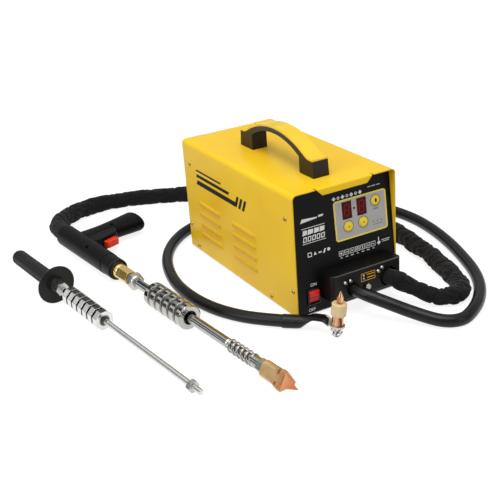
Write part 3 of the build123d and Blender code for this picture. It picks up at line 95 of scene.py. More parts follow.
# white studio: a large soft box overhead, smaller ones at the left and in front, an even sky
studio = {
    "skyLight": 0.50, "floorGlow": 0.84, "floorTone": 0.30, "floorBounce": "C0C0C0", "floorSize": 14.0,
    # what polished metal sees from the horizon up:
    # white backdrop, dark wall, a long white light box, dark ceiling, pale skylight
    "mirrorBands": [
        (0.0, "FFFFFF"), (0.07, "B0B0B0"), (0.12, "2C2C2C"), (0.24, "2C2C2C"), (0.30, "F0F0F0"),
        (0.43, "FFFFFF"), (0.48, "383838"), (0.59, "3A3A3A"), (0.63, "F4F4F4"), (1.0, "FFFFFF")],
    "softBoxes": [
        {"name": "overheadBox", "place": (-0.5, -0.5, 2.3), "aim": (0, 0, 0.1), "size": 1.7, "power": 34},
        {"name": "leftBox", "place": (-2.4, -0.5, 1.2), "aim": (0, 0, 0.1), "size": 1.3, "power": 16},
        {"name": "frontBox", "place": (0.9, -2.6, 1.2), "aim": (0, -0.1, 0.1), "size": 1.0, "power": 6},
    ],
}
for box in studio["softBoxes"]:
    bpy.ops.object.light_add(type="AREA", location=box["place"])
    lamp = bpy.context.object
    lamp.name = box["name"]
    lamp.data.size, lamp.data.energy = box["size"], box["power"]
    aimWay = Vector(box["aim"]) - Vector(box["place"])
    lamp.rotation_euler = aimWay.to_track_quat("-Z", "Y").to_euler()

# the sky lights evenly, metal mirrors its bands, and the camera sees plain white
sky = bpy.data.worlds.new("studioSky")
scene.world = sky
sky.use_nodes = True
skyTree = sky.node_tree
skyTree.nodes.clear()
rays = addNode(skyTree, "ShaderNodeLightPath").outputs
mirrored = addNode(skyTree, "ShaderNodeMath", {
    0: rays["Is Glossy Ray"], 1: rays["Is Transmission Ray"]}, operation="MAXIMUM")
skyPlace = addNode(skyTree, "ShaderNodeTexCoord")
skyHeight = addNode(skyTree, "ShaderNodeSeparateXYZ", {0: skyPlace.outputs["Generated"]})
skyRamp = addNode(skyTree, "ShaderNodeValToRGB", {0: skyHeight.outputs["Z"]})
while len(skyRamp.color_ramp.elements) < len(studio["mirrorBands"]):
    skyRamp.color_ramp.elements.new(0.5)
for stop, (height, tone) in zip(skyRamp.color_ramp.elements, studio["mirrorBands"]):
    stop.position, stop.color = height, linearColor(tone)
plainSky = addNode(skyTree, "ShaderNodeBackground", {
    "Color": linearColor("FFFFFF"), "Strength": studio["skyLight"]})
mirrorSky = addNode(skyTree, "ShaderNodeBackground", {"Color": skyRamp.outputs[0], "Strength": 1.0})
whiteSky = addNode(skyTree, "ShaderNodeBackground", {"Color": linearColor("FFFFFF"), "Strength": 1.0})
litOrMirror = addNode(skyTree, "ShaderNodeMixShader", {
    0: mirrored.outputs[0], 1: plainSky.outputs[0], 2: mirrorSky.outputs[0]})
seenSky = addNode(skyTree, "ShaderNodeMixShader", {
    0: rays["Is Camera Ray"], 1: litOrMirror.outputs[0], 2: whiteSky.outputs[0]})
addNode(skyTree, "ShaderNodeOutputWorld", {"Surface": seenSky.outputs[0]})

# the floor looks white and keeps the shadow, but throws less light back at the object
bpy.ops.mesh.primitive_plane_add(size=studio["floorSize"])
floor = bpy.context.object
floor.name = "studioFloor"
floorPaint = bpy.data.materials.new("whiteFloor")
floorPaint.use_nodes = True
floorTree = floorPaint.node_tree
floorTree.nodes.clear()
floorRays = addNode(floorTree, "ShaderNodeLightPath").outputs
glow = addNode(floorTree, "ShaderNodeEmission", {
    "Color": linearColor("FFFFFF"), "Strength": studio["floorGlow"]})
tone = studio["floorTone"]
shade = addNode(floorTree, "ShaderNodeBsdfDiffuse", {"Color": (tone, tone, tone, 1)})
seenFloor = addNode(floorTree, "ShaderNodeAddShader", {0: glow.outputs[0], 1: shade.outputs[0]})
bounceFloor = addNode(floorTree, "ShaderNodeBsdfDiffuse", {"Color": linearColor(studio["floorBounce"])})
seenRay = addNode(floorTree, "ShaderNodeMath", {
    0: floorRays["Is Camera Ray"], 1: floorRays["Is Glossy Ray"]}, operation="MAXIMUM")
seenAny = addNode(floorTree, "ShaderNodeMath", {
    0: seenRay.outputs[0], 1: floorRays["Is Transmission Ray"]}, operation="MAXIMUM")
floorMix = addNode(floorTree, "ShaderNodeMixShader", {
    0: seenAny.outputs[0], 1: bounceFloor.outputs[0], 2: seenFloor.outputs[0]})
addNode(floorTree, "ShaderNodeOutputMaterial", {"Surface": floorMix.outputs[0]})
floor.data.materials.append(floorPaint)
print("camera, soft boxes and floor set")

# wear, and painted highlight and shade, in every material that has them
wearAndPaintedLight = {
    "corner": (0.99, 0.86, 0.55), "paintedGlint": (0.94, 0.995, 0.8),  # match of directions from, to, most that shows
    "grooves": 0.94, "core": 0.9, "ridge": 0.4, "sheen": (0.85, 1.15),
}


# materials: two close shades in soft patches, a surface grain, rounded edges that catch the light
def startMaterial(
        name, shades, roughness, metallic=0.0, mottle=14, grain=0.8, depth=0.02, edge=0.5, specular=0.5,
        axis=None, stretch=(1, 14, 14), paintedReflectionBorders=None, edgeWearAndLight=None, edgeGlint=None, louvreShade=None, upper=None,
        line=None, blush=None, grooveShade=None):
    made = bpy.data.materials.new(name)
    made.use_nodes = True
    tree = made.node_tree
    tree.nodes.clear()
    place = own = addNode(tree, "ShaderNodeTexCoord").outputs["Object"]
    if axis is not None:  # lathe marks: the pattern runs round the part's own axis
        place = addNode(tree, "ShaderNodeMapping", {
            0: own, "Rotation": (0, 0, radians(axis)), "Scale": stretch}, vector_type="TEXTURE").outputs[0]
    patches = addNode(tree, "ShaderNodeTexNoise", {
        "Vector": place, "Scale": 1000 / mottle, "Detail": 3.0}).outputs[0]
    if paintedReflectionBorders:  # painted reflections: the same patches with harder borders, as bright and dark patches
        patches = addNode(tree, "ShaderNodeMapRange", {0: patches, 1: paintedReflectionBorders[0], 2: paintedReflectionBorders[1]}).outputs[0]
    softEdge = addNode(tree, "ShaderNodeBevel", {"Radius": edge * mm}, samples=4).outputs[0]
    tonesOver = []  # what lies over the two shades, real wear and painted light and shade: its share and its colour, from the lowest up
    if edgeWearAndLight or edgeGlint:
        faceWay = addNode(tree, "ShaderNodeNewGeometry").outputs["Normal"]
    if edgeWearAndLight:  # corners in another tone: greyer on the black paint, mouldings and rubbers, real wear; paler on the yellow cover; a painted highlight on the copper, the head, the housing and the nose ring; a painted dark reflection on the chrome, the cap and the electrode
        start, full, most = wearAndPaintedLight["corner"]
        match = addNode(tree, "ShaderNodeVectorMath", {
            0: softEdge, 1: faceWay}, operation="DOT_PRODUCT").outputs["Value"]
        corner = addNode(tree, "ShaderNodeMapRange", {0: match, 1: start, 2: full, 3: 0.0, 4: most}).outputs[0]
        broken = addNode(tree, "ShaderNodeMath", {0: corner, 1: patches}, operation="MULTIPLY").outputs[0]
        tonesOver.append((broken, edgeWearAndLight))
    if edgeGlint:  # a painted highlight on a rounded edge, where the face turns that way
        start, full, most = wearAndPaintedLight["paintedGlint"]
        facing = addNode(tree, "ShaderNodeVectorMath", {
            0: faceWay, 1: Vector(edgeGlint[0]).normalized()}, operation="DOT_PRODUCT").outputs["Value"]
        glintShare = addNode(tree, "ShaderNodeMapRange", {0: facing, 1: start, 2: full, 3: 0.0, 4: most}).outputs[0]
        tonesOver.append((glintShare, edgeGlint[1]))
    if louvreShade:  # pressed louvres: their proud faces painted darker, painted shade
        aside = addNode(tree, "ShaderNodeSeparateXYZ", {0: own}).outputs["X"]
        offSide = addNode(tree, "ShaderNodeMath", {0: aside}, operation="ABSOLUTE").outputs[0]
        louvreShadeShare = addNode(tree, "ShaderNodeMapRange", {0: offSide, 1: louvreShade[0] * mm, 2: louvreShade[1] * mm}).outputs[0]
        tonesOver.append((louvreShadeShare, louvreShade[2]))
    if upper:  # a lens painted brighter above its ridge: a painted glow, as if lit from behind
        height = addNode(tree, "ShaderNodeSeparateXYZ", {0: own}).outputs["Z"]
        above = addNode(tree, "ShaderNodeMapRange", {
            0: height, 1: (upper[0] - wearAndPaintedLight["ridge"]) * mm, 2: (upper[0] + wearAndPaintedLight["ridge"]) * mm}).outputs[0]
        tonesOver.append((above, upper[1]))
    if line:  # how far along the part's own axis
        inLine = addNode(tree, "ShaderNodeMapping", {
            0: own, "Location": Vector(line["end"]) * mm,
            "Rotation": (0, radians(line["pitch"]), radians(line["heading"]))}, vector_type="TEXTURE").outputs[0]
        along = addNode(tree, "ShaderNodeSeparateXYZ", {0: inLine}).outputs["X"]
    if blush:  # metal reddened by heat towards the tip
        hot = addNode(tree, "ShaderNodeMapRange", {0: along, 1: blush[0] * mm, 2: blush[1] * mm}).outputs[0]
        tonesOver.append((hot, blush[2]))
    if grooveShade:  # painted shade down in the grooves and round the bore, by the distance from that axis
        flat = addNode(tree, "ShaderNodeVectorMath", {0: inLine, 1: (0, 1, 1)}, operation="MULTIPLY").outputs[0]
        reach = addNode(tree, "ShaderNodeVectorMath", {0: flat}, operation="LENGTH").outputs["Value"]
        deep = addNode(tree, "ShaderNodeMapRange", {
            0: reach, 1: grooveShade["deep"][0] * mm, 2: grooveShade["deep"][1] * mm, 3: wearAndPaintedLight["grooves"], 4: 0.0}).outputs[0]
        inside = addNode(tree, "ShaderNodeMath", {
            0: along, 1: grooveShade["middle"] * mm, 2: grooveShade["half"] * mm}, operation="COMPARE").outputs[0]
        grooves = addNode(tree, "ShaderNodeMath", {0: deep, 1: inside}, operation="MULTIPLY").outputs[0]
        core = addNode(tree, "ShaderNodeMapRange", {
            0: reach, 1: grooveShade["core"][0] * mm, 2: grooveShade["core"][1] * mm, 3: wearAndPaintedLight["core"], 4: 0.0}).outputs[0]
        shadedShare = addNode(tree, "ShaderNodeMath", {0: grooves, 1: core}, operation="MAXIMUM").outputs[0]
        tonesOver.append((shadedShare, grooveShade["tone"]))
    tint = addNode(tree, "ShaderNodeMix", {
        0: patches, 6: linearColor(shades[0]), 7: linearColor(shades[1])}, data_type="RGBA").outputs[2]
    for share, code in tonesOver:
        tint = addNode(tree, "ShaderNodeMix", {0: share, 6: tint, 7: linearColor(code)}, data_type="RGBA").outputs[2]
    fine = addNode(tree, "ShaderNodeTexNoise", {"Vector": place, "Scale": 1000 / grain, "Detail": 2.0}).outputs[0]
    relief = addNode(tree, "ShaderNodeBump", {
        "Height": fine, "Distance": depth * mm, "Strength": 1.0, "Normal": softEdge}).outputs[0]
    sheen = addNode(tree, "ShaderNodeMapRange", {
        0: patches, 3: roughness * wearAndPaintedLight["sheen"][0], 4: roughness * wearAndPaintedLight["sheen"][1]}).outputs[0]
    shader = addNode(tree, "ShaderNodeBsdfPrincipled", {
        "Base Color": tint, "Metallic": metallic, "Roughness": sheen, "Normal": relief,
        "Specular IOR Level": specular})
    addNode(tree, "ShaderNodeOutputMaterial", {"Surface": shader.outputs[0]})
    return made


gunHeading, hammerHeading = -84.71, -81.1
gunLine = {"end": (-293.6, 351.8, 22), "pitch": 0, "heading": gunHeading}
hammerLine = {"end": (-416.7, 267.2, 44.35), "pitch": 3.64, "heading": hammerHeading}
finishes = {
    # powder coat baked on sheet steel: satin, with a faint orange peel
    # its louvres' proud faces are painted darker: painted shade that calms their lit tops
    "yellow_paint": startMaterial(
        "yellowPowderCoat", ("EEB718", "FCD52A"), 0.34, mottle=120, grain=1.6, depth=0.012, edge=2.2,
        specular=0.18, edgeWearAndLight="FBD548", louvreShade=(99.0, 99.8, "E0AE1C")),
    "black_paint": startMaterial(
        "blackPowderCoat", ("060606", "0B0B0A"), 0.42, grain=0.9, depth=0.02, specular=0.12, edgeWearAndLight="2A2826"),
    # plated and bare steel: grey zinc that has gone dull, chrome that mirrors
    "zinc_steel": startMaterial(
        "zincedSheet", ("8F9193", "A9ABAC"), 0.38, 1.0, mottle=8, grain=0.6, depth=0.008),
    "screw_zinc": startMaterial(
        "dulledZinc", ("9C988E", "BAB6AB"), 0.30, 1.0, mottle=3, grain=0.4, depth=0.008, edge=0.25),
    # its dark edges are painted dark reflection lines
    "chrome": startMaterial(
        "polishedChrome", ("9A9B9A", "D0D1D0"), 0.08, 1.0, mottle=7, grain=0.9, depth=0.002, edge=0.8,
        edgeWearAndLight="1C1C1C"),
    "spring_steel": startMaterial(
        "drawnSpringWire", ("A09E99", "BCBAB5"), 0.16, 1.0, mottle=4, grain=0.5, depth=0.006, edge=0.1),
    "aluminium": startMaterial("extrudedAluminium", ("B4B6B8", "C6C8CA"), 0.35, 1.0, mottle=6),
    "core_steel": startMaterial("varnishedLaminations", ("2A2724", "3A3531"), 0.45, 0.6, mottle=5),
    # copper and brass, turned and a little tarnished: a warm, uneven shine
    # its paler edges are a painted highlight
    "copper": startMaterial(
        "turnedCopper", ("C0966A", "DCB684"), 0.34, 1.0, mottle=12, grain=0.7, depth=0.006, edge=0.8,
        edgeWearAndLight="F8D8B0"),
    "brass": startMaterial(
        "turnedBrass", ("E4BA60", "F8DA90"), 0.24, 1.0, mottle=5, grain=0.5, depth=0.008, axis=gunHeading),
    # mouldings: the skin of the tool, satin or gloss, paler on rubbed corners; on the housing a painted highlight
    # along its edges
    "handle_black": startMaterial(
        "handleAbs", ("150E0A", "1E130D"), 0.36, grain=0.7, depth=0.02, specular=0.3, edgeWearAndLight="46342A"),
    "yellow_plastic": startMaterial(
        "yellowAbs", ("EAC222", "EECA2C"), 0.30, mottle=60, grain=1.0, depth=0.003, edge=0.8, specular=0.35),
    "button_yellow": startMaterial("yellowKeyRubber", ("F2D026", "F8DA34"), 0.42, mottle=5, specular=0.3),
    # the lens is painted brighter above its ridge: a painted glow
    "switch_red": startMaterial(
        "redPolycarbonate", ("A8120C", "BE1C12"), 0.2, mottle=8, depth=0.003, edge=0.8, specular=0.25,
        upper=(37.0, "EE2A1C")),
    "switch_black": startMaterial(
        "glossNylon", ("070707", "0C0C0C"), 0.22, depth=0.004, specular=0.3, edgeWearAndLight="303030"),
    # its pale edges and its rounded top front edge are a painted highlight
    "housing_black": startMaterial(
        "housingAbs", ("0B0A09", "12100F"), 0.36, grain=0.8, depth=0.02, edge=1.2, specular=0.18,
        edgeWearAndLight="8C8884", edgeGlint=((0, -1, 1), "605D5A")),
    "grip_black": startMaterial(
        "gripNylon", ("070707", "0E0E0F"), 0.40, grain=0.8, depth=0.04, edge=0.8, specular=0.09, edgeWearAndLight="303236"),
    "trigger_red": startMaterial("redAbs", ("E2330F", "F04222"), 0.34, mottle=8, edge=1.0, specular=0.3),
    "cream_insulator": startMaterial("creamPhenolic", ("DABC88", "E6CEA0"), 0.40, mottle=6, edge=0.6),
    # inside the case: lacquer on the board, tape round the coils
    "board_green": startMaterial("solderMask", ("0C4A26", "125C31"), 0.35, mottle=9),
    "winding": startMaterial("tapedCoil", ("A89A70", "C2B488"), 0.6, mottle=4, grain=0.9, depth=0.06),
    # rubber: dull where it is moulded, smooth and a little shiny on the cable
    "black_rubber": startMaterial(
        "mouldedRubber", ("0E0E0E", "161616"), 0.62, grain=0.6, depth=0.03, specular=0.3),
    "cable_rubber": startMaterial(
        "cableJacket", ("080808", "101010"), 0.30, mottle=30, grain=1.2, depth=0.02, specular=0.26),
    # printed film and the tinted windows behind it
    "overlay_film": startMaterial(
        "greyFilm", ("A9A7A5", "B3B1AE"), 0.44, mottle=10, grain=0.5, depth=0.006, specular=0.3),
    "display_red": startMaterial("redFilter", ("3A0306", "4A060A"), 0.10, mottle=12, depth=0.001, specular=0.1),
}
# print: flat ink and vinyl, gold foil that shines
inks = {
    "white": startMaterial(
        "whiteScreenInk", ("DADAD6", "E8E8E5"), 0.5, mottle=3, grain=0.4, depth=0.004, edge=0.1),
    "black": startMaterial(
        "blackVinyl", ("0A0705", "130E0A"), 0.42, mottle=8, grain=0.7, depth=0.004, edge=0.1, specular=0.1),
    "yellow": startMaterial(
        "yellowScreenInk", ("F0D838", "F6E048"), 0.46, mottle=4, grain=0.5, depth=0.004, edge=0.1),
    "cream": startMaterial(
        "creamScreenInk", ("E2D69A", "EADFAA"), 0.5, mottle=3, grain=0.5, depth=0.004, edge=0.1),
    "olive": startMaterial(
        "oliveScreenInk", ("6E5E16", "7C6C1E"), 0.5, mottle=3, grain=0.5, depth=0.004, edge=0.1),
    "segment": startMaterial(
        "unlitSegment", ("8A0A0C", "A41012"), 0.3, mottle=4, depth=0.001, edge=0.1, specular=0.1),
    "gold": startMaterial("goldFoil", ("B88A2E", "D9AE4C"), 0.28, 1.0, mottle=4, depth=0.004, edge=0.2),
    "grey": startMaterial("greyScreenInk", ("4A4946", "565551"), 0.5, mottle=3, depth=0.004, edge=0.1),
}
# lathe turned chrome: fine rings round the rod, brighter and darker by turns
turnedGun = startMaterial(
    "turnedChromeGun", ("9C9C9A", "BABAB8"), 0.10, 1.0, mottle=5, grain=0.7, depth=0.004, edge=0.7,
    axis=gunHeading)
turnedHammer = startMaterial(
    "turnedChromeHammer", ("CACAC8", "DEDEDC"), 0.08, 1.0, mottle=5, grain=0.7, depth=0.002, edge=0.7,
    axis=hammerHeading)
# the same with grooves: painted shade down in them and round the bore
groovedSlider = startMaterial(
    "groovedChromeSlider", ("D2D2D0", "E4E4E2"), 0.12, 1.0, mottle=5, grain=0.7, depth=0.004, edge=1.5,
    axis=hammerHeading, line=hammerLine,
    grooveShade={"middle": 253.65, "half": 54.2, "deep": (12.8, 15.2), "core": (8.0, 10.5), "tone": "161513"})
groovedWeight = startMaterial(
    "groovedChromeWeight", ("A6A5A0", "C4C2BE"), 0.10, 1.0, mottle=5, grain=0.7, depth=0.004, edge=1.5,
    axis=gunHeading, line=gunLine,
    grooveShade={"middle": 404, "half": 57.5, "deep": (17.8, 20.6), "core": (9.0, 12.0), "tone": "161513"})

# woven sleeve: a tight canvas weave drawn about twice as coarse as the cloth so that it shows
weave = {
    "thread": 2.2, "depth": 0.25, "strength": 0.6, "length": 1359, "girth": 100, "dust": 22,
    "shades": ("0D0C0D", "1B191A"), "roughness": 0.88, "sheen": 0.1, "sheenRoughness": 0.5, "specular": 0.15,
}
sleeveCloth = bpy.data.materials.new("wovenCanvasSleeve")
sleeveCloth.use_nodes = True
clothTree = sleeveCloth.node_tree
clothTree.nodes.clear()
clothMap = addNode(clothTree, "ShaderNodeUVMap", uv_map="wrap").outputs[0]
warp = addNode(clothTree, "ShaderNodeMapping", {
    0: clothMap, "Scale": (weave["girth"] / weave["thread"], weave["length"] / weave["thread"], 1)}).outputs[0]
threads = addNode(clothTree, "ShaderNodeTexChecker", {"Vector": warp, "Scale": 1.0}).outputs[1]
clothPlace = addNode(clothTree, "ShaderNodeTexCoord").outputs["Object"]
dust = addNode(clothTree, "ShaderNodeTexNoise", {
    "Vector": clothPlace, "Scale": 1000 / weave["dust"], "Detail": 5.0}).outputs[0]
clothTint = addNode(clothTree, "ShaderNodeMix", {
    0: dust, 6: linearColor(weave["shades"][0]), 7: linearColor(weave["shades"][1])}, data_type="RGBA").outputs[2]
clothBump = addNode(clothTree, "ShaderNodeBump", {
    "Height": threads, "Distance": weave["depth"] * mm, "Strength": weave["strength"]}).outputs[0]
clothShader = addNode(clothTree, "ShaderNodeBsdfPrincipled", {
    "Base Color": clothTint, "Roughness": weave["roughness"], "Normal": clothBump, "Sheen Weight": weave["sheen"],
    "Sheen Roughness": weave["sheenRoughness"], "Specular IOR Level": weave["specular"]})
addNode(clothTree, "ShaderNodeOutputMaterial", {"Surface": clothShader.outputs[0]})
finishes["sleeve_fabric"] = sleeveCloth

# small screws of the cover: zinc with a yellow passivation, gone dull
coverScrews = startMaterial(
    "yellowZinc", ("9A7C48", "C0A264"), 0.36, 1.0, mottle=2, grain=0.4, depth=0.01, edge=0.25)

# the electrode is a redder, softer copper than the pulling head; its bright streak is a painted highlight, its dark
# brown patches and edges painted dark reflection
electrodeCopper = startMaterial(
    "redCopper", ("6A3A20", "E8B48C"), 0.18, 1.0, mottle=7, grain=0.6, depth=0.004, edge=0.8,
    axis=0, stretch=(1, 1, 14), paintedReflectionBorders=(0.4, 0.62), edgeWearAndLight="4A2010")
# the head: copper filed by hand, satin, reddened at the point, with a painted highlight along its edges
headCopper = startMaterial(
    "filedCopper", ("C4A070", "E0BE8C"), 0.5, 1.0, mottle=12, grain=0.7, depth=0.012, edge=0.8,
    edgeWearAndLight="FCE0BC", line=gunLine, blush=(700, 735, "C4764E"))

# the grip of the hammer is an older, greyer rubber, and the gun's nose ring has a painted highlight on its rims
hammerRubber = startMaterial(
    "greyedRubber", ("131313", "1D1D1C"), 0.42, grain=0.8, depth=0.03, edge=1.2, specular=0.22, edgeWearAndLight="5A5A58")
noseNylon = startMaterial(
    "highlitRimNylon", ("070707", "0E0E0F"), 0.40, grain=0.8, depth=0.04, edge=1.2, specular=0.12, edgeWearAndLight="F0ECE4")

# hex nuts: nickel gone a little dull, and the polished cap under the lug with painted reflections: black and white
# patches and dark edges
dullNickel = startMaterial(
    "dullNickel", ("B4B4B0", "D2D2CE"), 0.28, 1.0, mottle=4, grain=0.5, depth=0.006, edge=0.5)
capChrome = startMaterial(
    "reflectionPaintedChrome", ("1C1C1C", "F6F6F6"), 0.07, 1.0, mottle=6, grain=0.9, depth=0.002, edge=0.8,
    paintedReflectionBorders=(0.4, 0.58), edgeWearAndLight="1C1C1C")

# the lug: copper dipped in tin, soft grey and pale
tinnedLug = startMaterial(
    "tinnedCopper", ("BDB6A4", "D4CEBE"), 0.46, 1.0, mottle=5, grain=0.6, depth=0.01, edge=0.4)

ownFinish = {
    "cover_screws": coverScrews, "cable_lug": tinnedLug, "electrode_pin": electrodeCopper,
    "electrode_nut": capChrome, "pull_head": headCopper, "gun_nose_ring": noseNylon, "hammer_grip": hammerRubber,
    "head_nut": dullNickel, "gun_lock_nut": dullNickel, "hammer_rear_nut": dullNickel, "hammer_end_nut": dullNickel,
    "gun_weight": groovedWeight, "gun_rod": turnedGun, "spring_collar": turnedGun,
    "hammer_slider": groovedSlider, "hammer_rod": turnedHammer,
}
for part in frame["record"]["subparts"]:
    node = frame["nodes"][part["node"]]
    node.data.materials.clear()
    node.data.materials.append(ownFinish.get(part["node"], finishes[part["material_slot"]]))
print("finishes on", len(frame["nodes"]), "CAD nodes")


# cords: NURBS lines on the routes of the solids
def routeCurve(name, cord):
    line = bpy.data.curves.new(name, "CURVE")
    line.dimensions = "3D"
    spline = line.splines.new("NURBS")
    spline.points.add(len(cord["route"]) - 1)
    for point, spot in zip(spline.points, cord["route"]):
        point.co = (*(Vector(spot) * mm), 1.0)
    spline.order_u = 3
    spline.use_endpoint_u = True
    spline.resolution_u = 18
    made = bpy.data.objects.new(name, line)
    scene.collection.objects.link(made)
    return made


def giveSection(made, cord):
    made.data.bevel_depth = cord["diameter"] / 2 * mm
    made.data.bevel_resolution = cord["roundness"]
    made.data.use_fill_caps = True


earthCord = {
    "diameter": 21, "exit": (-11, -220, 44), "length": 1.708, "roundness": 10,
    "route": [
        (-11, -195, 44), (-11, -231, 44), (14, -270, 33.5), (43, -304, 19.5), (70, -343, 11.2), (98.5, -357, 10.8),
        (127, -346, 10.8), (162, -323.5, 10.8), (198.5, -287, 10.8), (230, -238, 10.8), (255, -178, 10.8),
        (278, -112, 10.8), (294, -42, 10.8), (299, 22, 10.8), (288, 88, 10.8), (262, 148, 10.8), (222, 200, 10.8),
        (168, 240, 10.8), (105, 264, 10.8), (38, 272, 10.8), (-30, 266, 10.8), (-90, 242, 10.8), (-136, 202, 10.8),
        (-172, 150, 10.8), (-195, 90, 10.8), (-208, 24, 10.8), (-205, -48, 10.8), (-189, -106, 10.8),
        (-155, -163, 10.8), (-108, -212, 12.6),
    ],
}
earthCable = routeCurve("earthCable", earthCord)
giveSection(earthCable, earthCord)
earthCable.data.materials.append(finishes["cable_rubber"])
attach(earthCable, caseBody)
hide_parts("earth_cable")

sleeveCord = {
    "diameter": 30, "exit": (60, -220, 46.6), "length": 1.359, "roundness": 20,
    # lumps, and creases that slant round the cloth: depth, spacing along it, change round it
    "lump": 2.8, "lumpSize": 26, "lumpRound": 0.7,
    "crease": 3.0, "creaseSize": 17, "creaseRound": 1.1, "creaseSlant": 0.55, "creaseShift": 7,
    "creaseNarrow": 3.2, "creaseSharp": 1.6,
    "most": 20.4, "beside": (138, 190, 18.6),  # largest radius, and where the earth cable lies against it
    "smoothStart": 45, "smoothEnd": 40, "lowLine": 18, "floor": 0.3,
    "girth": [  # distance along the line, radius of the gathered cloth
        (0, 14.0), (26, 14.0), (37, 15.8), (48, 15.4), (64, 13.7), (95, 13.5), (130, 14.8), (165, 16.4),
        (200, 17.2), (250, 17.2), (310, 17.0), (370, 17.6), (430, 18.4), (520, 17.4), (640, 16.6), (800, 17.6),
        (950, 18.9), (1100, 19.3), (1250, 19.0), (1320, 17.8), (1359, 17.0)],
    "route": [
        (60, -195, 46.6), (60, -230, 46.6), (86, -253, 30), (106, -273, 19), (123.5, -290, 15.5), (149, -292, 15.5),
        (170, -277, 15.5), (184, -234, 15.5), (199, -184, 15.5), (211, -132, 15.5), (220, -78, 15.5),
        (225, -20, 15.5), (224, 40, 15.5), (216, 96, 21), (204, 148, 34), (188, 200, 44), (166, 258, 43),
        (136, 312, 29), (96, 358, 17), (40, 396, 15.5), (-30, 438, 15.5), (-106, 478, 15.5), (-184, 488, 16),
        (-242, 467, 18), (-281, 432, 20), (-297.29, 391.63, 22), (-293.6, 351.8, 22),
    ],
}
sleeveLine = routeCurve("sleeveLine", sleeveCord)
bpy.context.view_layer.update()
lineMesh = bpy.data.meshes.new_from_object(sleeveLine)
linePoints = [v.co.copy() for v in lineMesh.vertices]
runs = [0.0]
for before, here in zip(linePoints, linePoints[1:]):
    runs.append(runs[-1] + (here - before).length)
print("sleeve line:", len(linePoints), "points,", round(runs[-1], 3), "m")

# the sleeve: the same line with a round section, made a mesh, then folded cloth by noise along it
giveSection(sleeveLine, sleeveCord)
pickOut([sleeveLine])
bpy.ops.object.convert(target="MESH")
gunSleeve = bpy.context.object
gunSleeve.name = "gunSleeve"
bpy.ops.object.shade_smooth()
around = len(gunSleeve.data.vertices) // len(linePoints)
wrapMap = gunSleeve.data.uv_layers.new(name="wrap")
for corner in gunSleeve.data.loops:
    ring, step = divmod(corner.vertex_index, around)
    if ring < len(linePoints):
        wrapMap.data[corner.index].uv = (step / around, runs[ring] / runs[-1])


def girthAt(run):
    for (low, lowSize), (high, highSize) in zip(sleeveCord["girth"], sleeveCord["girth"][1:]):
        if run <= high:
            share = (run - low) / (high - low)
            return lowSize + (highSize - lowSize) * share * share * (3 - 2 * share)
    return sleeveCord["girth"][-1][1]


def sleeveNoise(along, angle, stretch, shift=0):
    return noise.noise(Vector((along, stretch * cos(angle) + shift, stretch * sin(angle))))


for vertex in gunSleeve.data.vertices:
    ring, step = divmod(vertex.index, around)
    if ring >= len(linePoints):
        continue
    middle, angle = linePoints[ring], 2 * pi * step / around
    run, left = runs[ring] / mm, (runs[-1] - runs[ring]) / mm
    lump = sleeveNoise(run / sleeveCord["lumpSize"], angle, sleeveCord["lumpRound"])
    slant = run / sleeveCord["creaseSize"] + sleeveCord["creaseSlant"] * sin(angle)
    fold = abs(sleeveNoise(slant, angle, sleeveCord["creaseRound"], sleeveCord["creaseShift"]))
    fold = max(0.0, 1 - fold * sleeveCord["creaseNarrow"]) ** sleeveCord["creaseSharp"]
    free = min(1.0, (run / sleeveCord["smoothStart"]) ** 2, (left / sleeveCord["smoothEnd"]) ** 2)
    start, stop, narrow = sleeveCord["beside"]
    most = narrow if start < run < stop else sleeveCord["most"]
    girth = girthAt(run)
    size = min(most, girth + free * (sleeveCord["lump"] * lump - sleeveCord["crease"] * fold))
    onFloor = middle.z < sleeveCord["lowLine"] * mm  # thinner cloth sinks until it lies there
    slack = max(0.0, sleeveCord["diameter"] / 2 - girth) if onFloor else 0.0
    vertex.co = middle + (vertex.co - middle).normalized() * size * mm - Vector((0, 0, slack * mm))
    vertex.co.z = max(vertex.co.z, sleeveCord["floor"] * mm)
gunSleeve.data.materials.clear()
gunSleeve.data.materials.append(sleeveCloth)
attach(gunSleeve, caseBody)
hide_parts("gun_cable")
print("cords laid")

# heat shrink at the earth cable's end, drawn flat over the lug's rising tongue
heatShrink = {
    "end": (-108, -212, 12.6), "before": (-155, -163, 10.8), "sides": 40, "wrinkle": 0.4, "wrinkleSize": 9,
    "sections": [  # distance past the cable's end, shift aside, rise, half width, half height
        (-30, 0, 0, 11.1, 11.1), (-29.4, 0, 0, 11.45, 11.45), (-20, 0, 0, 11.5, 11.5), (-8, 0, 0, 11.5, 11.5),
        (-1, 0, 0.3, 11.5, 11.2), (5, 0, 2.2, 11.1, 9.2), (10, 0, 4.6, 10.5, 6.8), (16, 0, 7.3, 10.1, 4.7),
        (20, 0, 9.2, 10.2, 4.2), (23, -0.5, 10.3, 10.4, 4.0), (27, -2.3, 11.0, 10.7, 3.9),
        (32, -4.7, 12.0, 10.8, 3.8), (36.5, -6.9, 12.8, 10.8, 3.8), (39.8, -8.4, 13.2, 10.8, 3.9),
        (42.6, -9.6, 12.8, 10.8, 4.1), (45.5, -10.5, 11.1, 10.8, 4.3), (48.4, -11.3, 9.2, 10.7, 4.3),
        (49, -11.5, 8.8, 10.3, 3.9)],
}
cableEnd = Vector(heatShrink["end"]) * mm
cableWay = (cableEnd - Vector(heatShrink["before"]) * mm).normalized()
acrossWay = Vector((-cableWay.y, cableWay.x, 0)).normalized()
endFrame = Matrix((acrossWay, cableWay.cross(acrossWay), cableWay)).transposed().to_4x4()
endFrame.translation = cableEnd
bpy.ops.object.select_all(action="DESELECT")
firstSection = heatShrink["sections"][0]
bpy.ops.mesh.primitive_circle_add(
    vertices=heatShrink["sides"], radius=firstSection[3] * mm, fill_type="NGON",
    location=(0, 0, firstSection[0] * mm))
shrinkPiece = bpy.context.object
shrinkPiece.name = "shrinkTube"
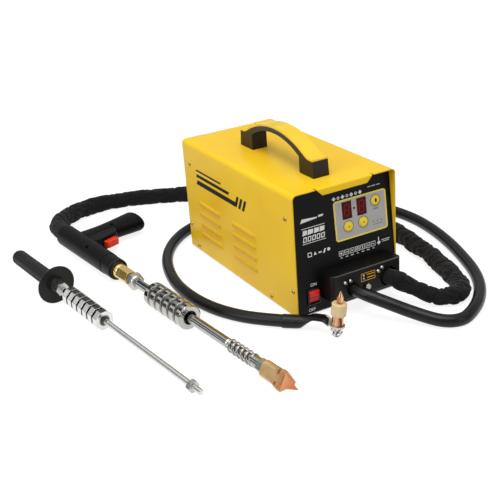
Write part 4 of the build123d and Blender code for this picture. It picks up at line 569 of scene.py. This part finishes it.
bpy.ops.object.transform_apply()
bpy.ops.object.mode_set(mode="EDIT")
bpy.ops.mesh.select_all(action="SELECT")
for before, here in zip(heatShrink["sections"], heatShrink["sections"][1:]):
    step = Vector((here[1] - before[1], here[2] - before[2], here[0] - before[0])) * mm
    bpy.ops.mesh.extrude_region_move(TRANSFORM_OT_translate={"value": step})
    centre = Vector((here[1], here[2], here[0])) * mm
    bpy.ops.transform.resize(value=(here[3] / before[3], here[4] / before[4], 1), center_override=centre)
bpy.ops.mesh.select_all(action="SELECT")
bpy.ops.mesh.normals_make_consistent(inside=False)
bpy.ops.object.mode_set(mode="OBJECT")
smoothRuns = shrinkPiece.modifiers.new("smoothRuns", "SUBSURF")
smoothRuns.levels = smoothRuns.render_levels = 2
bpy.ops.object.modifier_apply(modifier="smoothRuns")
wrinkles = bpy.data.textures.new("shrinkWrinkles", "CLOUDS")
wrinkles.noise_scale = heatShrink["wrinkleSize"] * mm
rumple = shrinkPiece.modifiers.new("wrinkles", "DISPLACE")
rumple.texture, rumple.strength, rumple.mid_level = wrinkles, heatShrink["wrinkle"] * mm, 0.5
bpy.ops.object.modifier_apply(modifier="wrinkles")
bpy.ops.object.shade_smooth()
shrinkPiece.matrix_world = endFrame
bpy.ops.object.transform_apply()
shrinkPiece.data.materials.append(finishes["cable_rubber"])
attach(shrinkPiece, caseBody)
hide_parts("heat_shrink")
print("heat shrink made")

# the gun's spring: one wire section wound by a screw modifier
springWire = {"start": 575.5, "pitch": 11.3, "turns": 5, "radius": 9.3, "wire": 3.2, "steps": 40, "sides": 14}
gunWay = Vector((cos(radians(gunHeading)), sin(radians(gunHeading)), 0))
gunFrame = Matrix((gunWay, Vector((-gunWay.y, gunWay.x, 0)), Vector((0, 0, 1)))).transposed().to_4x4()
gunFrame.translation = Vector(gunLine["end"]) * mm
bpy.ops.object.select_all(action="DESELECT")
bpy.ops.mesh.primitive_circle_add(
    vertices=springWire["sides"], radius=springWire["wire"] / 2 * mm,
    location=((springWire["start"] + springWire["wire"]) * mm, springWire["radius"] * mm, 0))
gunSpring = bpy.context.object
gunSpring.name = "gunSpring"
bpy.ops.object.transform_apply()
winding = gunSpring.modifiers.new("wind", "SCREW")
winding.axis = "X"
winding.angle = 2 * pi * springWire["turns"]
winding.screw_offset = springWire["pitch"] * springWire["turns"] * mm
winding.steps = winding.render_steps = springWire["steps"] * springWire["turns"]
bpy.ops.object.modifier_apply(modifier="wind")
bpy.ops.object.mode_set(mode="EDIT")
bpy.ops.mesh.select_all(action="SELECT")
bpy.ops.mesh.fill_holes(sides=0)
bpy.ops.mesh.select_all(action="SELECT")
bpy.ops.mesh.normals_make_consistent(inside=False)
bpy.ops.object.mode_set(mode="OBJECT")
bpy.ops.object.shade_smooth_by_angle(angle=radians(40))
gunSpring.matrix_world = gunFrame
bpy.ops.object.transform_apply()
gunSpring.data.materials.append(finishes["spring_steel"])
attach(gunSpring, caseBody)
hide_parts("gun_spring")
print("spring wound")

# printed marks: thin slabs of ink or film, each set on the face that carries it
facePlanes = {"lean": 5.7, "leanStart": 70, "panelY": -189, "housingY": -220, "sideX": 98.5}
leanTurn = radians(facePlanes["lean"])
roundSides = {"wedge": 3, "ring": 40, "disc": 40}
wordPrint = {"capital": 1.37, "extrude": 0.08, "bolder": 0.12}


def onFascia(x, z, lift=0.0):
    out = Vector((0, -cos(leanTurn), sin(leanTurn)))
    spot = Matrix((Vector((1, 0, 0)), Vector((0, sin(leanTurn), cos(leanTurn))), out)).transposed().to_4x4()
    y = facePlanes["panelY"] + (z - facePlanes["leanStart"]) * tan(leanTurn)
    spot.translation = (Vector((x, y, z)) + out * lift) * mm
    return spot


def onUpright(x, y, z):
    spot = Matrix((Vector((1, 0, 0)), Vector((0, 0, 1)), Vector((0, -1, 0)))).transposed().to_4x4()
    spot.translation = Vector((x, y, z)) * mm
    return spot


def onSide(side, y, z):
    spot = Matrix((Vector((0, side, 0)), Vector((0, 0, 1)), Vector((side, 0, 0)))).transposed().to_4x4()
    spot.translation = Vector((side * facePlanes["sideX"], y, z)) * mm
    return spot


def cutMiddle(line):
    bpy.ops.object.mode_set(mode="EDIT")
    bpy.ops.mesh.select_all(action="SELECT")
    bpy.ops.mesh.inset(thickness=line * mm)
    bpy.ops.mesh.delete(type="FACE")
    bpy.ops.object.mode_set(mode="OBJECT")


def setDown(made, spot, thick):
    slab = made.modifiers.new("slab", "SOLIDIFY")
    slab.thickness, slab.offset = thick * mm, 1
    bpy.ops.object.modifier_apply(modifier="slab")
    made.matrix_world = spot
    bpy.ops.object.transform_apply()


def addMark(kind, spot, width, height, line=0.6, thick=0.15, turn=0, taper=1.0, lean=0.0):
    bpy.ops.object.select_all(action="DESELECT")
    if kind in roundSides:
        bpy.ops.mesh.primitive_circle_add(vertices=roundSides[kind], radius=mm / 2, fill_type="NGON")
    else:
        bpy.ops.mesh.primitive_plane_add(size=mm)
    made = bpy.context.object
    made.scale = (width, height, 1)
    bpy.ops.object.transform_apply()
    if kind in ("bar", "frame"):  # these may taper to the right end and lean over
        for vertex in made.data.vertices:
            if vertex.co.x > 0:
                vertex.co.y *= taper
            vertex.co.x += lean * vertex.co.y
    if kind in ("ring", "frame"):
        cutMiddle(line)
    setDown(made, spot @ Matrix.Rotation(radians(turn), 4, "Z"), thick)
    return made


def addWord(word, spot, height):
    bpy.ops.object.select_all(action="DESELECT")
    bpy.ops.object.text_add()
    made = bpy.context.object
    made.data.body, made.data.size = word, height * wordPrint["capital"] * mm
    made.data.extrude, made.data.offset = wordPrint["extrude"] * mm, wordPrint["bolder"] * mm
    made.data.align_x, made.data.align_y = "CENTER", "CENTER"
    bpy.ops.object.convert(target="MESH")
    made = bpy.context.object
    made.matrix_world = spot
    bpy.ops.object.transform_apply()
    return made


def joinMarks(name, marks, ink, body):
    pickOut(marks)
    if len(marks) > 1:
        bpy.ops.object.join()
    made = bpy.context.object
    made.name = name
    made.data.materials.clear()
    made.data.materials.append(ink)
    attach(made, body)


# the control overlay: border, rings round the buttons, small signs
overlayPrint = {
    "middle": (34.8, 148.3), "size": (102.5, 67.6), "top": 1.0,
    "border": 2.3, "borderThick": 0.18, "corner": 5, "cornerSteps": 8,
    "buttons": {"minus_button": (8.9, 135.9), "plus_button": (38.0, 136.3), "mode_button": (64.3, 166.5)},
    "rings": {"buttonRings": (20.0, 1.5, "olive"), "buttonHalos": (17.2, 1.2, "cream")},  # across, line, ink
    "dot": (22.6, 163.4), "dotSize": 3.8,
    "signs": [  # kind, x, z, width, height, turn
        ("wedge", 8.9, 148.6, 3.2, 3.2, 180), ("wedge", 38.0, 148.6, 3.2, 3.2, 0),
        ("bar", 64.3, 153.5, 11, 0.7, 0), ("bar", 64.3, 151.8, 11, 0.7, 0),
        ("disc", 58, 131.5, 2.2, 2.2, 0), ("disc", 66, 131.5, 2.2, 2.2, 0), ("disc", 74, 131.5, 2.2, 2.2, 0),
        ("bar", 66, 126.5, 19, 0.8, 0)],
}
top = overlayPrint["top"]
bpy.ops.object.select_all(action="DESELECT")
bpy.ops.mesh.primitive_plane_add(size=mm)
overlayBorder = bpy.context.object
overlayBorder.scale = (*overlayPrint["size"], 1)
bpy.ops.object.transform_apply()
bpy.ops.object.mode_set(mode="EDIT")
bpy.ops.mesh.select_all(action="SELECT")
bpy.ops.mesh.bevel(offset=overlayPrint["corner"] * mm, segments=overlayPrint["cornerSteps"], affect="VERTICES")
bpy.ops.object.mode_set(mode="OBJECT")
cutMiddle(overlayPrint["border"])
setDown(overlayBorder, onFascia(*overlayPrint["middle"], top), overlayPrint["borderThick"])
joinMarks("overlayBorder", [overlayBorder], inks["yellow"], caseBody)

for name, (across, line, ink) in overlayPrint["rings"].items():
    rings = [
        addMark("ring", onFascia(x, z, top), across, across, line=line) for x, z in overlayPrint["buttons"].values()]
    joinMarks(name, rings, inks[ink], caseBody)
windowDot = addMark("disc", onFascia(*overlayPrint["dot"], top), overlayPrint["dotSize"], overlayPrint["dotSize"])
joinMarks("windowDot", [windowDot], inks["black"], caseBody)
overlaySigns = [
    addMark(kind, onFascia(x, z, top), wide, tall, turn=turn)
    for kind, x, z, wide, tall, turn in overlayPrint["signs"]]
joinMarks("overlaySigns", overlaySigns, inks["grey"], caseBody)

# the windows show unlit eights, seven bars each, that slant a little
digitPrint = {
    "x": [8.5, 37.3], "z": 163, "top": 0.6, "segment": (7.6, 1.5), "rows": 9.2, "columns": 4.6, "thick": 0.05,
    "slant": 0.08,
}
long, wide = digitPrint["segment"]
digitBars = [(0, row * digitPrint["rows"], long, wide) for row in (-1, 0, 1)]
digitBars += [
    (column * digitPrint["columns"], row * digitPrint["rows"] / 2, wide, long)
    for row in (-1, 1) for column in (-1, 1)]
firstDigit = [
    addMark("bar", Matrix.Translation((x * mm, y * mm, 0)), across, tall, thick=digitPrint["thick"])
    for x, y, across, tall in digitBars]
pickOut(firstDigit)
bpy.ops.object.join()
digitShape = bpy.context.object
for vertex in digitShape.data.vertices:
    vertex.co.x += digitPrint["slant"] * vertex.co.y
digits = [digitShape]
while len(digits) < len(digitPrint["x"]):
    digits.append(digitShape.copy())
    digits[-1].data = digitShape.data.copy()
    scene.collection.objects.link(digits[-1])
for digit, x in zip(digits, digitPrint["x"]):
    pickOut([digit])
    digit.matrix_world = onFascia(x, digitPrint["z"], digitPrint["top"])
    bpy.ops.object.transform_apply()
joinMarks("unlitSegments", digits, inks["segment"], caseBody)

# one sign on each button, which moves with it
buttonPrint = {
    "top": 3.2, "thick": 0.06,
    "signs": {  # kind, width, height, turn, ink
        "minus_button": ("wedge", 4.6, 4.6, 180, "olive"),
        "plus_button": ("wedge", 4.6, 4.6, 0, "olive"),
        "mode_button": ("disc", 4.2, 7.4, 0, "black"),
    },
}
for name, (kind, wide, tall, turn, ink) in buttonPrint["signs"].items():
    spot = onFascia(*overlayPrint["buttons"][name], buttonPrint["top"])
    sign = addMark(kind, spot, wide, tall, thick=buttonPrint["thick"], turn=turn)
    joinMarks("sign_" + name, [sign], inks[ink], name)
print("overlay printed")

# white signs on the fascia and the switch's words
panelPrint = {
    # a heading of diamonds and rings, and three short bars
    "headZ": 186.4, "headX": [-14, -5.5, 3, 11.5, 20, 28.5, 37], "headSize": 5.2, "headLine": 1.3,
    "barZ": 191, "bars": [(55, 6), (63.5, 8), (73, 7)], "barHeight": 1.1,
    # a row of framed cells, a sign in each and a dash under it
    "rowZ": 94, "rowX": [-9, 1.6, 12.2, 22.8, 33.4, 44, 54.6], "cell": 8.6, "cellLine": 0.8, "cellSignLine": 1.0,
    "cellSigns": [  # kind, width, height, turn
        ("disc", 3.6, 3.6, 0), ("bar", 5, 1.4, 0), ("wedge", 4.6, 4.6, 0), ("ring", 4.6, 4.6, 0),
        ("bar", 1.4, 5, 0), ("wedge", 4.2, 4.2, 180), ("disc", 2.4, 2.4, 0)],
    "dashZ": 86.5, "dashHeight": 1.3, "dashes": [3.4, 4.6, 5.8],
    "marks": [  # kind, x, z, width, height, and what else it has
        ("bar", 66, 93, 5.4, 5.4, {"turn": 45}), ("bar", 66, 99, 1.6, 7, {}),
        ("bar", 80, 96, 17, 1.0, {}), ("bar", 80, 93, 13, 1.0, {}),
        # left of the overlay: leaning blocks over leaning outlines, between two lines
        ("bar", -73, 145.5, 8, 8.4, {"lean": 0.22, "taper": 0.82}),
        ("bar", -62.5, 145.5, 10, 8.4, {"lean": 0.22, "taper": 0.82}),
        ("bar", -51, 145.5, 9, 8.4, {"lean": 0.22, "taper": 0.82}),
        ("bar", -40.5, 145.5, 9, 8.4, {"lean": 0.22, "taper": 0.82}),
        ("frame", -74, 134.5, 6.6, 8.4, {"line": 1.5, "lean": 0.22}),
        ("frame", -65.5, 134.5, 6.6, 8.4, {"line": 1.5, "lean": 0.22}),
        ("frame", -57, 134.5, 6.6, 8.4, {"line": 1.5, "lean": 0.22}),
        ("frame", -48.5, 134.5, 6.6, 8.4, {"line": 1.5, "lean": 0.22}),
        ("frame", -40, 134.5, 6.6, 8.4, {"line": 1.5, "lean": 0.22}),
        ("bar", -57, 152.5, 44, 0.9, {}), ("bar", -57, 127.6, 44, 0.9, {}),
        # above them two swept bars, below them a row of small signs
        ("bar", -63, 165.5, 30, 6.4, {"lean": 0.5, "taper": 0.3}), ("bar", -41, 167, 9, 3.2, {"lean": 0.5}),
        ("frame", -68, 108, 7.4, 7.4, {"line": 1.2}), ("wedge", -58, 107.4, 7, 7, {}),
        ("bar", -48.5, 107.6, 6, 2.2, {}), ("bar", -40, 108, 3, 7, {"lean": 0.5}), ("disc", -32, 108.4, 5.6, 5.6, {})],
    "words": [("ON", -66, 56.4), ("OFF", -70.5, 12.6)], "wordHeight": 5.6,
}
whiteMarks = []
for index, x in enumerate(panelPrint["headX"]):
    kind, turn = ("ring", 0) if index % 2 else ("bar", 45)
    whiteMarks.append(addMark(
        kind, onFascia(x, panelPrint["headZ"]), panelPrint["headSize"], panelPrint["headSize"],
        line=panelPrint["headLine"], turn=turn))
for x, wide in panelPrint["bars"]:
    whiteMarks.append(addMark("bar", onFascia(x, panelPrint["barZ"]), wide, panelPrint["barHeight"]))
for index, (x, (kind, wide, tall, turn)) in enumerate(zip(panelPrint["rowX"], panelPrint["cellSigns"])):
    spot = onFascia(x, panelPrint["rowZ"])
    dash = panelPrint["dashes"][index % len(panelPrint["dashes"])]
    whiteMarks += [
        addMark("frame", spot, panelPrint["cell"], panelPrint["cell"], line=panelPrint["cellLine"]),
        addMark(kind, spot, wide, tall, line=panelPrint["cellSignLine"], turn=turn),
        addMark("bar", onFascia(x, panelPrint["dashZ"]), dash, panelPrint["dashHeight"])]
for kind, x, z, wide, tall, more in panelPrint["marks"]:
    whiteMarks.append(addMark(kind, onFascia(x, z), wide, tall, **more))
for word, x, z in panelPrint["words"]:
    whiteMarks.append(addWord(word, onUpright(x, facePlanes["panelY"], z), panelPrint["wordHeight"]))
joinMarks("panelSigns", whiteMarks, inks["white"], caseBody)

# label plate on the terminal housing: plain bars and dots in a gold frame
platePrint = {
    "middle": (18.7, 58.7), "size": (28, 14.2), "thick": 0.3, "frame": 1.0, "inkTop": 0.5,
    "bars": [(4.5, 3.0, 15), (4.5, -2.4, 13)], "barHeight": 1.6, "dotX": -8.5, "dotSize": 3.2,
}
plateX, plateZ = platePrint["middle"]
plateY, inkTop = facePlanes["housingY"], platePrint["inkTop"]
plateSpot = onUpright(plateX, plateY, plateZ)
plateFilm = addMark("bar", plateSpot, *platePrint["size"], thick=platePrint["thick"])
joinMarks("labelPlate", [plateFilm], inks["black"], caseBody)
goldMarks = [addMark("frame", plateSpot, *platePrint["size"], line=platePrint["frame"], thick=inkTop)]
goldMarks += [
    addMark("bar", onUpright(plateX + x, plateY, plateZ + z), wide, platePrint["barHeight"], thick=inkTop)
    for x, z, wide in platePrint["bars"]]
joinMarks("labelFrame", goldMarks, inks["gold"], caseBody)
plateDots = [
    addMark(
        "disc", onUpright(plateX + platePrint["dotX"], plateY, plateZ + z),
        platePrint["dotSize"], platePrint["dotSize"], thick=inkTop)
    for _, z, _ in platePrint["bars"]]
joinMarks("labelDots", plateDots, inks["white"], caseBody)

# plain stripes and slanting blocks on both sides of the cover
stripePrint = {
    "frontY": 6, "lean": -0.5, "thick": 0.12,
    "bars": [  # distance back from the front end, height, length, thickness
        (60, 146, 150, 9), (74, 159, 122, 6), (88, 169, 94, 3.5),
        (-14, 152, 7.5, 21), (-27, 152, 7.5, 21), (-40, 152, 7.5, 21)],
}
for side, sideName in ((-1, "Left"), (1, "Right")):
    stripes = [
        addMark(
            "bar", onSide(side, stripePrint["frontY"] + back, z), long, tall,
            lean=stripePrint["lean"] * side, thick=stripePrint["thick"])
        for back, z, long, tall in stripePrint["bars"]]
    joinMarks("sideStripes" + sideName, stripes, inks["black"], caseBody)
print("marks printed")
